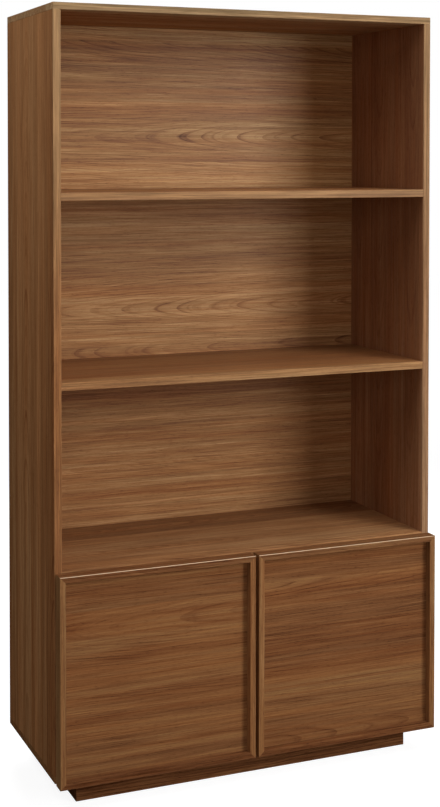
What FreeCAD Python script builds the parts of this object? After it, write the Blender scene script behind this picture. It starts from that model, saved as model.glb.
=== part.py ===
import FreeCAD, Part
import os
from math import sqrt

# A tall bookcase: three open bays over a cabinet with two doors, on a recessed plinth.
# Millimetres. +Z is up, the front faces -Y, and +X is on the right of someone facing the front.
# The origin is on the floor, at the centre of the bookcase's outline seen from above.
# Every piece on the left half is modelled once, and the right half is its mirror image.

# ---- Case -------------------------------------------------------------------------------------
case_width = 950.0
case_depth = 380.0          # sides, from front edge to rear edge
side_thickness = 18.0
top_thickness = 16.0
bottom_thickness = 16.0
shelf_thickness = 18.0      # the three fixed shelves, the cabinet's top being the lowest
bay_height = 400.0          # clear height of each open bay
cabinet_height = 436.0      # clear height inside the cabinet
edge_radius = 1.2           # softened edges of the case boards

# ---- Back panels, held in grooves ---------------------------------------------------------------
back_thickness = 5.0
back_inset = 11.0           # rear edge of the case to the rear of the back panels
groove_depth = 6.0
groove_play = 0.2           # on each face of a back panel
groove_end_play = 0.5       # at the bottom of the groove
back_joint = 1.0            # between one back panel and the next
back_screws_per_joint = 5
back_screw_margin = 60.0    # outermost screws to the inner face of a side

# ---- Plinth -------------------------------------------------------------------------------------
plinth_height = 58.0        # floor to the underside of the bottom panel
plinth_side_inset = 55.0
plinth_front_inset = 20.0
plinth_rear_inset = 25.0
plinth_thickness = 16.0
block_width = 40.0          # square corner blocks inside the plinth
glide_height = 2.0
glide_radius = 11.0
glide_stem_radius = 3.0
glide_stem_length = 14.0

# ---- Loose shelf in the cabinet -----------------------------------------------------------------
loose_shelf_thickness = 16.0
loose_shelf_side_play = 1.0
loose_shelf_setback = 30.0
loose_shelf_rear_play = 2.0
loose_shelf_height = 210.0  # cabinet floor to the underside of the loose shelf
pin_radius = 2.5
pin_depth = 9.0
pin_pad_length = 9.0
pin_pad_width = 8.0
pin_pad_height = 6.0
pin_front_inset = 70.0
pin_rear_inset = 45.0
pin_pitch = 32.0
pin_holes_each_way = 2      # spare holes above and below the one in use

# ---- Doors --------------------------------------------------------------------------------------
door_standoff = 3.0         # gap between the case and the doors' rear faces
door_panel_thickness = 15.0
door_recess = 18.0          # front of the raised rim to the front of the sunk panel
rim_width = 14.0
rim_radius = 1.5
door_side_reveal = 2.0      # door edge to the outer face of the side
door_top_reveal = 2.0       # door top to the upper face of the cabinet's top
door_bottom_drop = 2.0      # door bottom below the underside of the bottom panel
meeting_gap = 8.0           # between the two doors

# ---- Concealed hinges ---------------------------------------------------------------------------
hinge_end_inset = 95.0      # door end to hinge centre
pin_to_door_edge = 8.0
hinge_pin_radius = 0.9
hinge_pin_end_margin = 0.2  # pin end to the outside of the cup's wall
hinge_pin_play = 0.05
cup_radius = 17.5
cup_edge_margin = 3.0       # wood left between the cup and the door's edge
cup_front_margin = 2.5      # wood left between the cup and the front of the sunk panel
cup_wall = 1.0
cup_floor = 0.7
flange_thickness = 1.2
flange_lip = 2.0            # flange beyond the cup's wall
flange_edge_margin = 3.5    # flange to the door's edge
flange_tab_width = 15.0
flange_tab_margin = 7.0     # screw to the end of the tab
cup_screw_margin = 6.5      # cup's wall to the screw
cup_screw_offset = 6.0      # from the cup's centre, away from the door's edge
arm_thickness = 2.0
arm_eye_radius = 1.9
arm_eye_clearance = 0.4     # eye to the cup's floor
arm_nose_half_width = 4.0
arm_half_width = 6.5
arm_lip_thickness = 1.2
arm_lip_play = 0.3
arm_length = 56.0           # behind the case's front edge
plate_thickness = 2.0
plate_spine_height = 3.0
plate_spine_start = 12.0    # behind the case's front edge
plate_screw_setback = 37.0  # behind the case's front edge
plate_screw_spacing = 32.0
plate_wing_width = 15.0
plate_wing_half_height = 26.0

# ---- Push latches -------------------------------------------------------------------------------
latch_offset = 30.0         # from the bookcase's centre line
latch_width = 16.0
latch_height = 18.0
latch_length = 58.0
latch_setback = 2.0         # behind the case's front edge
latch_axis_drop = 10.0      # below the cabinet's top
latch_bore_depth = 52.0
latch_ear_thickness = 2.5
latch_ear_span = 36.0
latch_ear_length = 34.0
latch_screw_spacing = 26.0
plunger_radius = 4.5
plunger_play = 0.05
plunger_length = 46.0
magnet_length = 3.0
strike_radius = 9.0
strike_thickness = 1.2
strike_clearance = 0.3      # magnet to strike plate, door shut

# ---- Fasteners ----------------------------------------------------------------------------------
dowel_radius = 4.0
dowel_length = 30.0
dowel_depth_in_face = 12.0  # in the face of a side
dowel_depth_in_board = 10.0 # in the top or bottom panel
dowel_end_play = 0.5
dowel_spacing_from_fixing = 32.0
fixing_front_inset = 55.0   # front edge to the first cam or screw
fixing_rear_inset = 55.0
cam_radius = 7.5
cam_above_bolt = 4.5        # bolt's centre line to the cam's inner end
cam_distance = 34.0         # shelf end to cam centre
cam_bolt_radius = 3.0
cam_bolt_head_radius = 3.4
cam_bolt_depth = 11.0       # in the side
cam_slot_radius = 3.9
case_screw_radius = 3.5
case_screw_length = 50.0
case_screw_head_radius = 5.0
case_screw_head_height = 4.0
cap_radius = 6.0
cap_thickness = 1.2
small_screw_radius = 1.6
small_screw_head_radius = 3.3
small_screw_head_height = 1.3
small_screw_length = 11.0
plate_screw_radius = 2.5
plate_screw_head_radius = 4.5
plate_screw_head_height = 1.8
plate_screw_depth = 11.0
plinth_screw_radius = 2.2
plinth_screw_head_radius = 4.2
plinth_screw_head_height = 3.0
plinth_screw_length = 45.0
hole_end_play = 0.5
recess_depth = 0.9          # driver recess in a screw head
recess_span = 1.2           # its width, in head radii
recess_slot = 0.3           # its slots' width, in head radii
anchor_hole_radius = 1.5    # pilot holes for a tip-over strap, in the top panel's rear edge
anchor_hole_depth = 12.0
anchor_hole_spacing = 600.0
same_place = 1e-6           # points nearer than this are one

# ---- Sizes and places that follow ---------------------------------------------------------------
door_thickness = door_panel_thickness + door_recess
overall_depth = case_depth + door_standoff + door_thickness
rear_y = overall_depth / 2
front_y = rear_y - case_depth
door_back_y = front_y - door_standoff
door_front_y = door_back_y - door_thickness
door_panel_front_y = door_front_y + door_recess
back_rear_y = rear_y - back_inset
back_front_y = back_rear_y - back_thickness

outer_x = -case_width / 2               # outer face of the left side
inner_x = outer_x + side_thickness      # its inner face

bottom_z = plinth_height
floor_z = bottom_z + bottom_thickness
cabinet_top_z = floor_z + cabinet_height
middle_shelf_z = cabinet_top_z + shelf_thickness + bay_height
upper_shelf_z = middle_shelf_z + shelf_thickness + bay_height
top_z = upper_shelf_z + shelf_thickness + bay_height
overall_height = top_z + top_thickness
fixed_shelf_zs = [cabinet_top_z, middle_shelf_z, upper_shelf_z]
loose_shelf_z = floor_z + loose_shelf_height

door_z0 = bottom_z - door_bottom_drop
door_z1 = cabinet_top_z + shelf_thickness - door_top_reveal
door_x0 = outer_x + door_side_reveal
door_x1 = -meeting_gap / 2
hinge_zs = [door_z0 + hinge_end_inset, door_z1 - hinge_end_inset]
cup_depth = door_panel_thickness - cup_front_margin
hinge_x = door_x0 + pin_to_door_edge
hinge_y = door_back_y - cup_depth + cup_floor + arm_eye_clearance + arm_eye_radius
cup_x = door_x0 + cup_edge_margin + cup_radius
cup_screw_x = cup_x + cup_screw_offset
cup_screw_reach = cup_radius + cup_screw_margin    # up or down from the hinge's centre

latch_x = -latch_offset
latch_z = cabinet_top_z - latch_axis_drop
strike_y = door_back_y + strike_thickness
magnet_y = strike_y + strike_clearance

cam_height = shelf_thickness / 2 + cam_above_bolt
fixing_ys = [front_y + fixing_front_inset, back_front_y - fixing_rear_inset]
dowel_ys = [fixing_ys[0] + dowel_spacing_from_fixing, fixing_ys[1] - dowel_spacing_from_fixing]
case_screw_ys = [fixing_ys[0], (fixing_ys[0] + fixing_ys[1]) / 2, fixing_ys[1]]
side_middle_x = (outer_x + inner_x) / 2

V = FreeCAD.Vector
X = V(1, 0, 0)
Y = V(0, 1, 0)
Z = V(0, 0, 1)


# ---- Shapes -------------------------------------------------------------------------------------
def block(x0, x1, y0, y1, z0, z1):
    return Part.makeBox(x1 - x0, y1 - y0, z1 - z0, V(x0, y0, z0))


def rod(radius, start, end):
    """A round bar from one point to another."""
    along = end.sub(start)
    return Part.makeCylinder(radius, along.Length, start, along)


def soften(solid, radius, chosen):
    """Round the edges that chosen(edge) picks."""
    edges = [edge for edge in solid.Edges if chosen(edge)]
    return solid.makeFillet(radius, edges)


def less(solid, tools):
    """The solid with every tool cut away."""
    return solid.cut(tools).Solids[0]


def joined(shapes):
    return shapes[0].fuse(shapes[1:]).removeSplitter().Solids[0]


def mirrored(solid):
    return solid.mirror(V(0, 0, 0), X)


def both_sides(solids):
    return solids + [mirrored(solid) for solid in solids]


def at_y(edge, y):
    return all(abs(vertex.Y - y) < same_place for vertex in edge.Vertexes)


def runs_along(edge, axis):
    return abs(edge.tangentAt(edge.FirstParameter).dot(axis)) > 1 - same_place


def cross_recess(centre, axis, head_radius):
    """The two crossed slots of a driver recess, to be cut from a head whose face is at centre."""
    slots = []
    for long_way in [direction for direction in (X, Y, Z) if not direction.dot(axis)]:
        sizes = [recess_span * head_radius if long_way[i] else recess_slot * head_radius for i in range(3)]
        sizes = [2 * recess_depth if axis[i] else sizes[i] for i in range(3)]
        slots.append(Part.makeBox(*sizes, centre - V(*sizes) / 2))
    return slots


def pan_screw(seat, axis, radius, length, head_radius, head_height):
    """A screw whose head stands on seat, pointing along axis, its shank going the other way."""
    face = seat + axis * head_height
    shank = rod(radius, seat - axis * length, seat)
    head = rod(head_radius, seat, face)
    return less(joined([head, shank]), cross_recess(face, axis, head_radius))


def screw_hole(seat, axis, radius, length):
    return rod(radius, seat - axis * (length + hole_end_play), seat)


# ---- Dowels, cams and screws of the case ----------------------------------------------------------
def shelf_dowels(z, play):
    """Dowels from the left side into the end of a fixed shelf whose underside is at z."""
    height = z + shelf_thickness / 2
    start = inner_x - dowel_depth_in_face - play
    end = inner_x - dowel_depth_in_face + dowel_length + play
    return [rod(dowel_radius, V(start, y, height), V(end, y, height)) for y in dowel_ys]


def upright_dowels(joint_z, into_side, play):
    """Dowels from a flat board into the end of the left side; into_side is +1 up or -1 down."""
    start = joint_z - into_side * (dowel_depth_in_board + play)
    end = joint_z + into_side * (dowel_length - dowel_depth_in_board + play)
    return [rod(dowel_radius, V(side_middle_x, y, start), V(side_middle_x, y, end)) for y in dowel_ys]


def cam_lock(y, z):
    """A cam housing in a fixed shelf's underside, with the bore that takes the bolt's head."""
    centre_x = inner_x + cam_distance
    bolt_z = z + shelf_thickness / 2
    body = rod(cam_radius, V(centre_x, y, z), V(centre_x, y, z + cam_height))
    bore = rod(cam_slot_radius, V(centre_x - cam_radius, y, bolt_z), V(centre_x, y, bolt_z))
    end_of_bore = Part.makeSphere(cam_slot_radius, V(centre_x, y, bolt_z))
    return less(body, [bore, end_of_bore] + cross_recess(V(centre_x, y, z), Z, cam_radius))


def cam_bolt(y, z):
    """The bolt that stands in the side and that the cam pulls on."""
    bolt_z = z + shelf_thickness / 2
    head_x = inner_x + cam_distance
    shank = rod(cam_bolt_radius, V(inner_x - cam_bolt_depth, y, bolt_z), V(head_x, y, bolt_z))
    head = Part.makeSphere(cam_bolt_head_radius, V(head_x, y, bolt_z))
    return joined([shank, head])


def cam_cuts_in_shelf(y, z):
    centre_x = inner_x + cam_distance
    bolt_z = z + shelf_thickness / 2
    pocket = rod(cam_radius, V(centre_x, y, z), V(centre_x, y, z + cam_height))
    return [pocket, rod(cam_slot_radius, V(inner_x, y, bolt_z), V(centre_x, y, bolt_z))]


def case_screw(y, face_z, inward, sink):
    """A screw down through the top panel (inward -1) or up through the bottom panel (+1)."""
    head_z = face_z + inward * sink
    neck_z = head_z + inward * case_screw_head_height
    tip_z = head_z + inward * case_screw_length
    head = rod(case_screw_head_radius, V(side_middle_x, y, head_z), V(side_middle_x, y, neck_z))
    shank = rod(case_screw_radius, V(side_middle_x, y, neck_z), V(side_middle_x, y, tip_z))
    return joined([head, shank])


def screw_cap(y):
    start = V(side_middle_x, y, overall_height - cap_thickness)
    return rod(cap_radius, start, V(side_middle_x, y, overall_height))


top_screws = [case_screw(y, overall_height, -1, cap_thickness) for y in case_screw_ys]
bottom_screws = [case_screw(y, bottom_z, 1, 0.0) for y in case_screw_ys]
screw_caps = [screw_cap(y) for y in case_screw_ys]

dowels = upright_dowels(top_z, -1, 0.0) + upright_dowels(floor_z, 1, 0.0)
cams = []
bolts = []
for shelf_z in fixed_shelf_zs:
    dowels += shelf_dowels(shelf_z, 0.0)
    cams += [cam_lock(y, shelf_z) for y in fixing_ys]
    bolts += [cam_bolt(y, shelf_z) for y in fixing_ys]


# ---- Hinges ---------------------------------------------------------------------------------------
# The pin stands upright inside the cup, near the door's edge. The arm leaves it inside the cup,
# turns towards the rear, and lies on a plate that is screwed to the inner face of the side.
arm_outer_x = inner_x + plate_thickness + plate_spine_height
arm_inner_x = arm_outer_x + arm_thickness
plate_screw_y = front_y + plate_screw_setback
plate_end_y = front_y + arm_length


def hinge_pin(z):
    """The pin crosses the cup and ends inside its wall."""
    from_centre = cup_x - hinge_x + hinge_pin_radius
    half_length = sqrt(cup_radius ** 2 - from_centre ** 2) - hinge_pin_end_margin
    return rod(hinge_pin_radius, V(hinge_x, hinge_y, z - half_length), V(hinge_x, hinge_y, z + half_length))


def hinge_cup(z):
    """The cup that sinks into the door, with its flange on the door's rear face."""
    floor_y = door_back_y - cup_depth
    flange_y = door_back_y + flange_thickness
    shell = rod(cup_radius, V(cup_x, floor_y, z), V(cup_x, door_back_y, z))
    flange_radius = cup_radius + flange_lip
    disc = rod(flange_radius, V(cup_x, door_back_y, z), V(cup_x, flange_y, z))
    half_tab = cup_screw_reach + flange_tab_margin
    tab = block(cup_screw_x - flange_tab_width / 2, cup_screw_x + flange_tab_width / 2,
                door_back_y, flange_y, z - half_tab, z + half_tab)
    tab = soften(tab, flange_tab_width / 3, lambda edge: runs_along(edge, Y))
    trimmed = block(door_x0, door_x0 + flange_edge_margin,
                    door_back_y, flange_y, z - flange_radius, z + flange_radius)
    hollow = rod(cup_radius - cup_wall, V(cup_x, floor_y + cup_floor, z), V(cup_x, flange_y, z))
    screws = [screw_hole(seat, Y, small_screw_radius, flange_thickness) for seat in cup_screw_seats(z)]
    return less(joined([shell, disc, tab]), [trimmed, hollow, hinge_pin(z)] + screws)


def cup_screw_seats(z):
    flange_y = door_back_y + flange_thickness
    return [V(cup_screw_x, flange_y, z + side * cup_screw_reach) for side in (-1, 1)]


def cup_screws(z):
    return [pan_screw(seat, Y, small_screw_radius, small_screw_length,
                      small_screw_head_radius, small_screw_head_height) for seat in cup_screw_seats(z)]


def hinge_arm(z):
    """A pressed arm: an eye round the pin, a cranked nose, and a lipped channel on the plate."""
    half_nose = arm_thickness / 2
    channel_y = front_y + arm_thickness
    lip_x = inner_x + plate_thickness + arm_lip_play
    eye = rod(arm_eye_radius, V(hinge_x, hinge_y, z - arm_nose_half_width),
              V(hinge_x, hinge_y, z + arm_nose_half_width))
    nose = block(hinge_x, arm_inner_x, hinge_y - half_nose, hinge_y + half_nose,
                 z - arm_nose_half_width, z + arm_nose_half_width)
    neck = block(arm_outer_x, arm_inner_x, hinge_y - half_nose, channel_y,
                 z - arm_nose_half_width, z + arm_nose_half_width)
    web = block(arm_outer_x, arm_inner_x, channel_y, plate_end_y, z - arm_half_width, z + arm_half_width)
    lips = [block(lip_x, arm_outer_x, channel_y, plate_end_y, z + low, z + high)
            for low, high in ((-arm_half_width, arm_lip_thickness - arm_half_width),
                              (arm_half_width - arm_lip_thickness, arm_half_width))]
    bore = rod(hinge_pin_radius + hinge_pin_play, V(hinge_x, hinge_y, z - arm_half_width),
               V(hinge_x, hinge_y, z + arm_half_width))
    screw = rod(plate_screw_radius, V(arm_outer_x, arm_screw_y, z), V(arm_inner_x, arm_screw_y, z))
    return less(joined([eye, nose, neck, web] + lips), [bore, screw])


arm_screw_y = (plate_screw_y + plate_end_y) / 2
arm_screw_length = arm_thickness + plate_spine_height


def arm_screw(z):
    return pan_screw(V(arm_inner_x, arm_screw_y, z), X, plate_screw_radius, arm_screw_length,
                     plate_screw_head_radius, plate_screw_head_height)


def plate_screw_seats(z):
    seat_x = inner_x + plate_thickness
    return [V(seat_x, plate_screw_y, z + side * plate_screw_spacing / 2) for side in (-1, 1)]


def plate_screws(z):
    return [pan_screw(seat, X, plate_screw_radius, plate_screw_depth,
                      plate_screw_head_radius, plate_screw_head_height) for seat in plate_screw_seats(z)]


def plate_screw_holes(z):
    return [screw_hole(seat, X, plate_screw_radius, plate_screw_depth) for seat in plate_screw_seats(z)]


def hinge_plate(z):
    """The cross-shaped mounting plate, with the spine that the arm lies on."""
    base_x = inner_x + plate_thickness
    spine_half_width = arm_half_width - arm_lip_thickness - arm_lip_play
    half_wing = plate_wing_width / 2
    wings = block(inner_x, base_x, plate_screw_y - half_wing, plate_screw_y + half_wing,
                  z - plate_wing_half_height, z + plate_wing_half_height)
    wings = soften(wings, plate_wing_width / 3, lambda edge: runs_along(edge, X))
    stem = block(inner_x, base_x, front_y + plate_spine_start, plate_end_y,
                 z - arm_half_width, z + arm_half_width)
    spine = block(base_x, arm_outer_x, front_y + plate_spine_start, plate_end_y,
                  z - spine_half_width, z + spine_half_width)
    screw = rod(plate_screw_radius, V(base_x, arm_screw_y, z), V(arm_outer_x, arm_screw_y, z))
    return less(joined([wings, stem, spine]), plate_screw_holes(z) + [screw])


# ---- Push latches ---------------------------------------------------------------------------------
def latch_screw_seats():
    seat_y = front_y + latch_setback + latch_length / 2
    seat_z = cabinet_top_z - latch_ear_thickness
    return [V(latch_x + side * latch_screw_spacing / 2, seat_y, seat_z) for side in (-1, 1)]


def latch_housing():
    y0 = front_y + latch_setback
    y1 = y0 + latch_length
    body = block(latch_x - latch_width / 2, latch_x + latch_width / 2, y0, y1,
                 cabinet_top_z - latch_height, cabinet_top_z)
    body = soften(body, edge_radius, lambda edge: runs_along(edge, Y) and edge.Vertexes[0].Z < latch_z)
    ear_y = (y0 + y1) / 2
    ears = block(latch_x - latch_ear_span / 2, latch_x + latch_ear_span / 2,
                 ear_y - latch_ear_length / 2, ear_y + latch_ear_length / 2,
                 cabinet_top_z - latch_ear_thickness, cabinet_top_z)
    ears = soften(ears, latch_ear_thickness, lambda edge: runs_along(edge, Z))
    bore = rod(plunger_radius + plunger_play,
               V(latch_x, y0, latch_z), V(latch_x, y0 + latch_bore_depth, latch_z))
    screws = [screw_hole(seat, -Z, small_screw_radius, latch_ear_thickness) for seat in latch_screw_seats()]
    return less(joined([body, ears]), [bore] + screws)


def latch_screws():
    return [pan_screw(seat, -Z, small_screw_radius, small_screw_length,
                      small_screw_head_radius, small_screw_head_height) for seat in latch_screw_seats()]


def latch_magnet():
    return rod(plunger_radius, V(latch_x, magnet_y, latch_z), V(latch_x, magnet_y + magnet_length, latch_z))


def latch_plunger():
    start_y = magnet_y + magnet_length
    return rod(plunger_radius, V(latch_x, start_y, latch_z), V(latch_x, start_y + plunger_length, latch_z))


def strike_screw():
    return pan_screw(V(latch_x, strike_screw_seat_y, latch_z), Y, small_screw_radius, small_screw_length,
                     small_screw_head_radius, strike_screw_head_height)


strike_screw_head_height = strike_thickness / 2
strike_screw_seat_y = strike_y - strike_screw_head_height


def strike_plate():
    disc = rod(strike_radius, V(latch_x, door_back_y, latch_z), V(latch_x, strike_y, latch_z))
    disc = soften(disc, strike_thickness / 3, lambda edge: at_y(edge, strike_y))
    sink = rod(small_screw_head_radius,
               V(latch_x, strike_screw_seat_y, latch_z), V(latch_x, strike_y, latch_z))
    hole = rod(small_screw_radius, V(latch_x, door_back_y, latch_z), V(latch_x, strike_y, latch_z))
    return less(disc, [sink, hole])


# ---- Back panels ----------------------------------------------------------------------------------
def back_groove_in_side():
    return block(inner_x - groove_depth, inner_x, back_front_y - groove_play, back_rear_y + groove_play,
                 floor_z, top_z)


def back_groove_in_board(joint_z, into_board):
    """The groove in the top (into_board +1) or bottom (-1) panel, along its whole inner width."""
    low, high = sorted((joint_z, joint_z + into_board * groove_depth))
    half_width = groove_depth - inner_x
    return block(-half_width, half_width, back_front_y - groove_play, back_rear_y + groove_play, low, high)


def back_joint_zs():
    return [shelf_z + shelf_thickness / 2 for shelf_z in fixed_shelf_zs]


def back_screw_seats(joint_z):
    first_x = inner_x + back_screw_margin
    pitch = -2 * first_x / (back_screws_per_joint - 1)
    return [V(first_x + i * pitch, back_rear_y, joint_z) for i in range(back_screws_per_joint)]


def back_screws(joint_z):
    return [pan_screw(seat, Y, small_screw_radius, small_screw_length + back_thickness,
                      small_screw_head_radius, small_screw_head_height)
            for seat in back_screw_seats(joint_z)]


def back_screw_holes(joint_z):
    return [screw_hole(seat, Y, small_screw_radius, small_screw_length + back_thickness)
            for seat in back_screw_seats(joint_z)]


def back_panel(z0, z1):
    half_width = groove_depth - groove_end_play - inner_x
    panel = block(-half_width, half_width, back_front_y, back_rear_y, z0, z1)
    holes = []
    for joint_z in back_joint_zs():
        if z0 - back_joint < joint_z < z1 + back_joint:
            holes += back_screw_holes(joint_z)
    return less(panel, holes)


# ---- Case boards ----------------------------------------------------------------------------------
def left_side():
    board = block(outer_x, inner_x, front_y, rear_y, floor_z, top_z)
    board = soften(board, edge_radius, lambda edge: at_y(edge, front_y) and runs_along(edge, Z))
    cuts = [back_groove_in_side()]
    cuts += upright_dowels(top_z, -1, dowel_end_play) + upright_dowels(floor_z, 1, dowel_end_play)
    for y in case_screw_ys:
        cuts.append(case_screw(y, overall_height, -1, cap_thickness + hole_end_play))
        cuts.append(case_screw(y, bottom_z, 1, hole_end_play))
    for shelf_z in fixed_shelf_zs:
        cuts += shelf_dowels(shelf_z, dowel_end_play)
        bolt_z = shelf_z + shelf_thickness / 2
        cuts += [rod(cam_bolt_radius, V(inner_x - cam_bolt_depth, y, bolt_z), V(inner_x, y, bolt_z))
                 for y in fixing_ys]
    for hinge_z in hinge_zs:
        cuts += plate_screw_holes(hinge_z)
    cuts += shelf_pin_holes()
    return less(board, cuts)


def flat_board(z, thickness):
    """The top or bottom panel: a full-width board, softened all round except along its rear."""
    board = block(outer_x, -outer_x, front_y, rear_y, z, z + thickness)
    return soften(board, edge_radius, lambda edge: not at_y(edge, rear_y))


def top_panel():
    cuts = upright_dowels(top_z, -1, dowel_end_play) + screw_caps + top_screws
    anchors = [rod(anchor_hole_radius,
                   V(side * anchor_hole_spacing / 2, rear_y - anchor_hole_depth, top_z + top_thickness / 2),
                   V(side * anchor_hole_spacing / 2, rear_y, top_z + top_thickness / 2)) for side in (-1, 1)]
    return less(flat_board(top_z, top_thickness),
                both_sides(cuts) + anchors + [back_groove_in_board(top_z, 1)])


def bottom_panel():
    cuts = upright_dowels(floor_z, 1, dowel_end_play) + bottom_screws
    return less(flat_board(bottom_z, bottom_thickness),
                both_sides(cuts) + plinth_screw_cuts() + [back_groove_in_board(floor_z, -1)])


def fixed_shelf(z):
    board = block(inner_x, -inner_x, front_y, back_front_y, z, z + shelf_thickness)
    board = soften(board, edge_radius, lambda edge: at_y(edge, front_y) and runs_along(edge, X))
    cuts = shelf_dowels(z, dowel_end_play)
    for y in fixing_ys:
        cuts += cam_cuts_in_shelf(y, z)
    return less(board, both_sides(cuts) + back_screw_holes(z + shelf_thickness / 2))


def cabinet_top():
    holes = [screw_hole(seat, -Z, small_screw_radius, small_screw_length) for seat in latch_screw_seats()]
    return less(fixed_shelf(cabinet_top_z), both_sides(holes))


# ---- Loose shelf and its pins ---------------------------------------------------------------------
pin_ys = [front_y + pin_front_inset, back_front_y - pin_rear_inset]
pin_z = loose_shelf_z - pin_pad_height / 2


def shelf_pin(y):
    """A round peg in the side, with a flat-topped pad under the shelf."""
    peg = rod(pin_radius, V(inner_x - pin_depth, y, pin_z), V(inner_x, y, pin_z))
    pad = block(inner_x, inner_x + pin_pad_length, y - pin_pad_width / 2, y + pin_pad_width / 2,
                loose_shelf_z - pin_pad_height, loose_shelf_z)
    pad = soften(pad, pin_pad_height / 4,
                 lambda edge: runs_along(edge, X) and edge.Vertexes[0].Z < pin_z)
    return joined([peg, pad])


def shelf_pin_holes():
    steps = range(-pin_holes_each_way, pin_holes_each_way + 1)
    return [rod(pin_radius, V(inner_x - pin_depth - hole_end_play, y, pin_z + step * pin_pitch),
                V(inner_x, y, pin_z + step * pin_pitch)) for y in pin_ys for step in steps]


def loose_shelf():
    side_x = inner_x + loose_shelf_side_play
    board = block(side_x, -side_x, front_y + loose_shelf_setback, back_front_y - loose_shelf_rear_play,
                  loose_shelf_z, loose_shelf_z + loose_shelf_thickness)
    return soften(board, edge_radius, lambda edge: runs_along(edge, X))


# ---- Plinth ---------------------------------------------------------------------------------------
plinth_x = outer_x + plinth_side_inset
plinth_front_y = front_y + plinth_front_inset
plinth_rear_y = rear_y - plinth_rear_inset
plinth_inner_x = plinth_x + plinth_thickness
plinth_inner_front_y = plinth_front_y + plinth_thickness
plinth_inner_rear_y = plinth_rear_y - plinth_thickness
block_ys = [plinth_inner_front_y + block_width / 2, plinth_inner_rear_y - block_width / 2]
block_x = plinth_inner_x + block_width / 2
foot_spots = [(x, y) for x in (block_x, 0.0, -block_x) for y in block_ys]


def plinth_end_board(y0, y1):
    board = block(plinth_x, -plinth_x, y0, y1, glide_height, bottom_z)
    return soften(board, edge_radius, lambda edge: runs_along(edge, Z))


def plinth_left():
    return block(plinth_x, plinth_inner_x, plinth_inner_front_y, plinth_inner_rear_y, glide_height, bottom_z)


def glide(x, y):
    """A round plastic foot on a nail."""
    disc = rod(glide_radius, V(x, y, 0), V(x, y, glide_height))
    disc = soften(disc, glide_height / 3,
                  lambda edge: all(abs(vertex.Z) < same_place for vertex in edge.Vertexes))
    return joined([disc, glide_stem(x, y)])


def glide_stem(x, y):
    return rod(glide_stem_radius, V(x, y, 0), V(x, y, glide_height + glide_stem_length))


def plinth_screw(x, y):
    head_z = floor_z - plinth_screw_head_height
    head = Part.makeCone(plinth_screw_radius, plinth_screw_head_radius, plinth_screw_head_height,
                         V(x, y, head_z))
    shank = rod(plinth_screw_radius, V(x, y, floor_z - plinth_screw_length), V(x, y, head_z))
    return joined([head, shank])


def plinth_screw_cuts():
    return [plinth_screw(x, y) for x, y in foot_spots]


def plinth_screws():
    return [less(plinth_screw(x, y), cross_recess(V(x, y, floor_z), Z, plinth_screw_head_radius))
            for x, y in foot_spots]


def foot_cuts(x, y):
    return [glide_stem(x, y), plinth_screw(x, y)]


def corner_block(x, y):
    body = block(x - block_width / 2, x + block_width / 2, y - block_width / 2, y + block_width / 2,
                 glide_height, bottom_z)
    return less(body, foot_cuts(x, y))


def plinth_brace():
    """The board from front to back under the middle of the bottom panel."""
    board = block(-plinth_thickness / 2, plinth_thickness / 2, plinth_inner_front_y, plinth_inner_rear_y,
                  glide_height, bottom_z)
    return less(board, [cut for y in block_ys for cut in foot_cuts(0.0, y)])


# ---- Doors ----------------------------------------------------------------------------------------
def rim_piece(x0, x1, z0, z1, outline, long_way, inner_back):
    """One mitred piece of a door's raised rim, rounded along all but its inner rear edge."""
    bar = block(x0, x1, door_front_y, door_back_y, z0, z1)
    bar = soften(bar, rim_radius, lambda edge: runs_along(edge, long_way) and not inner_back(edge))
    corners = [V(x, door_front_y, z) for x, z in outline]
    face = Part.Face(Part.makePolygon(corners + corners[:1]))
    return bar.common(face.extrude(V(0, door_thickness, 0))).Solids[0]


def rail_outline(outer_z, inner_z):
    x0 = door_x0 + rim_width
    x1 = door_x1 - rim_width
    return [(door_x0, outer_z), (door_x1, outer_z), (x1, inner_z), (x0, inner_z)]


def stile_outline(outer, inner):
    z0 = door_z0 + rim_width
    z1 = door_z1 - rim_width
    return [(outer, door_z0), (outer, door_z1), (inner, z1), (inner, z0)]


def top_rail():
    low = door_z1 - rim_width
    outline = rail_outline(door_z1, low)
    return rim_piece(door_x0, door_x1, low, door_z1, outline, X,
                     lambda edge: at_y(edge, door_back_y) and edge.Vertexes[0].Z < low + rim_width / 2)


def bottom_rail():
    high = door_z0 + rim_width
    outline = rail_outline(door_z0, high)
    return rim_piece(door_x0, door_x1, door_z0, high, outline, X,
                     lambda edge: at_y(edge, door_back_y) and edge.Vertexes[0].Z > high - rim_width / 2)


def hinge_stile():
    inner = door_x0 + rim_width
    outline = stile_outline(door_x0, inner)
    stile = rim_piece(door_x0, inner, door_z0, door_z1, outline, Z,
                      lambda edge: at_y(edge, door_back_y) and edge.Vertexes[0].X > inner - rim_width / 2)
    return less(stile, cup_holes())


def meeting_stile():
    inner = door_x1 - rim_width
    outline = stile_outline(door_x1, inner)
    return rim_piece(inner, door_x1, door_z0, door_z1, outline, Z,
                     lambda edge: at_y(edge, door_back_y) and edge.Vertexes[0].X < inner + rim_width / 2)


def cup_holes():
    return [rod(cup_radius, V(cup_x, door_back_y - cup_depth, z), V(cup_x, door_back_y, z))
            for z in hinge_zs]


def door_panel():
    panel = block(door_x0 + rim_width, door_x1 - rim_width, door_panel_front_y, door_back_y,
                  door_z0 + rim_width, door_z1 - rim_width)
    seats = [seat for z in hinge_zs for seat in cup_screw_seats(z)]
    holes = [screw_hole(seat, Y, small_screw_radius, small_screw_length) for seat in seats]
    strike_seat = V(latch_x, strike_screw_seat_y, latch_z)
    holes.append(screw_hole(strike_seat, Y, small_screw_radius, small_screw_length))
    return less(panel, cup_holes() + holes)


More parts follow.
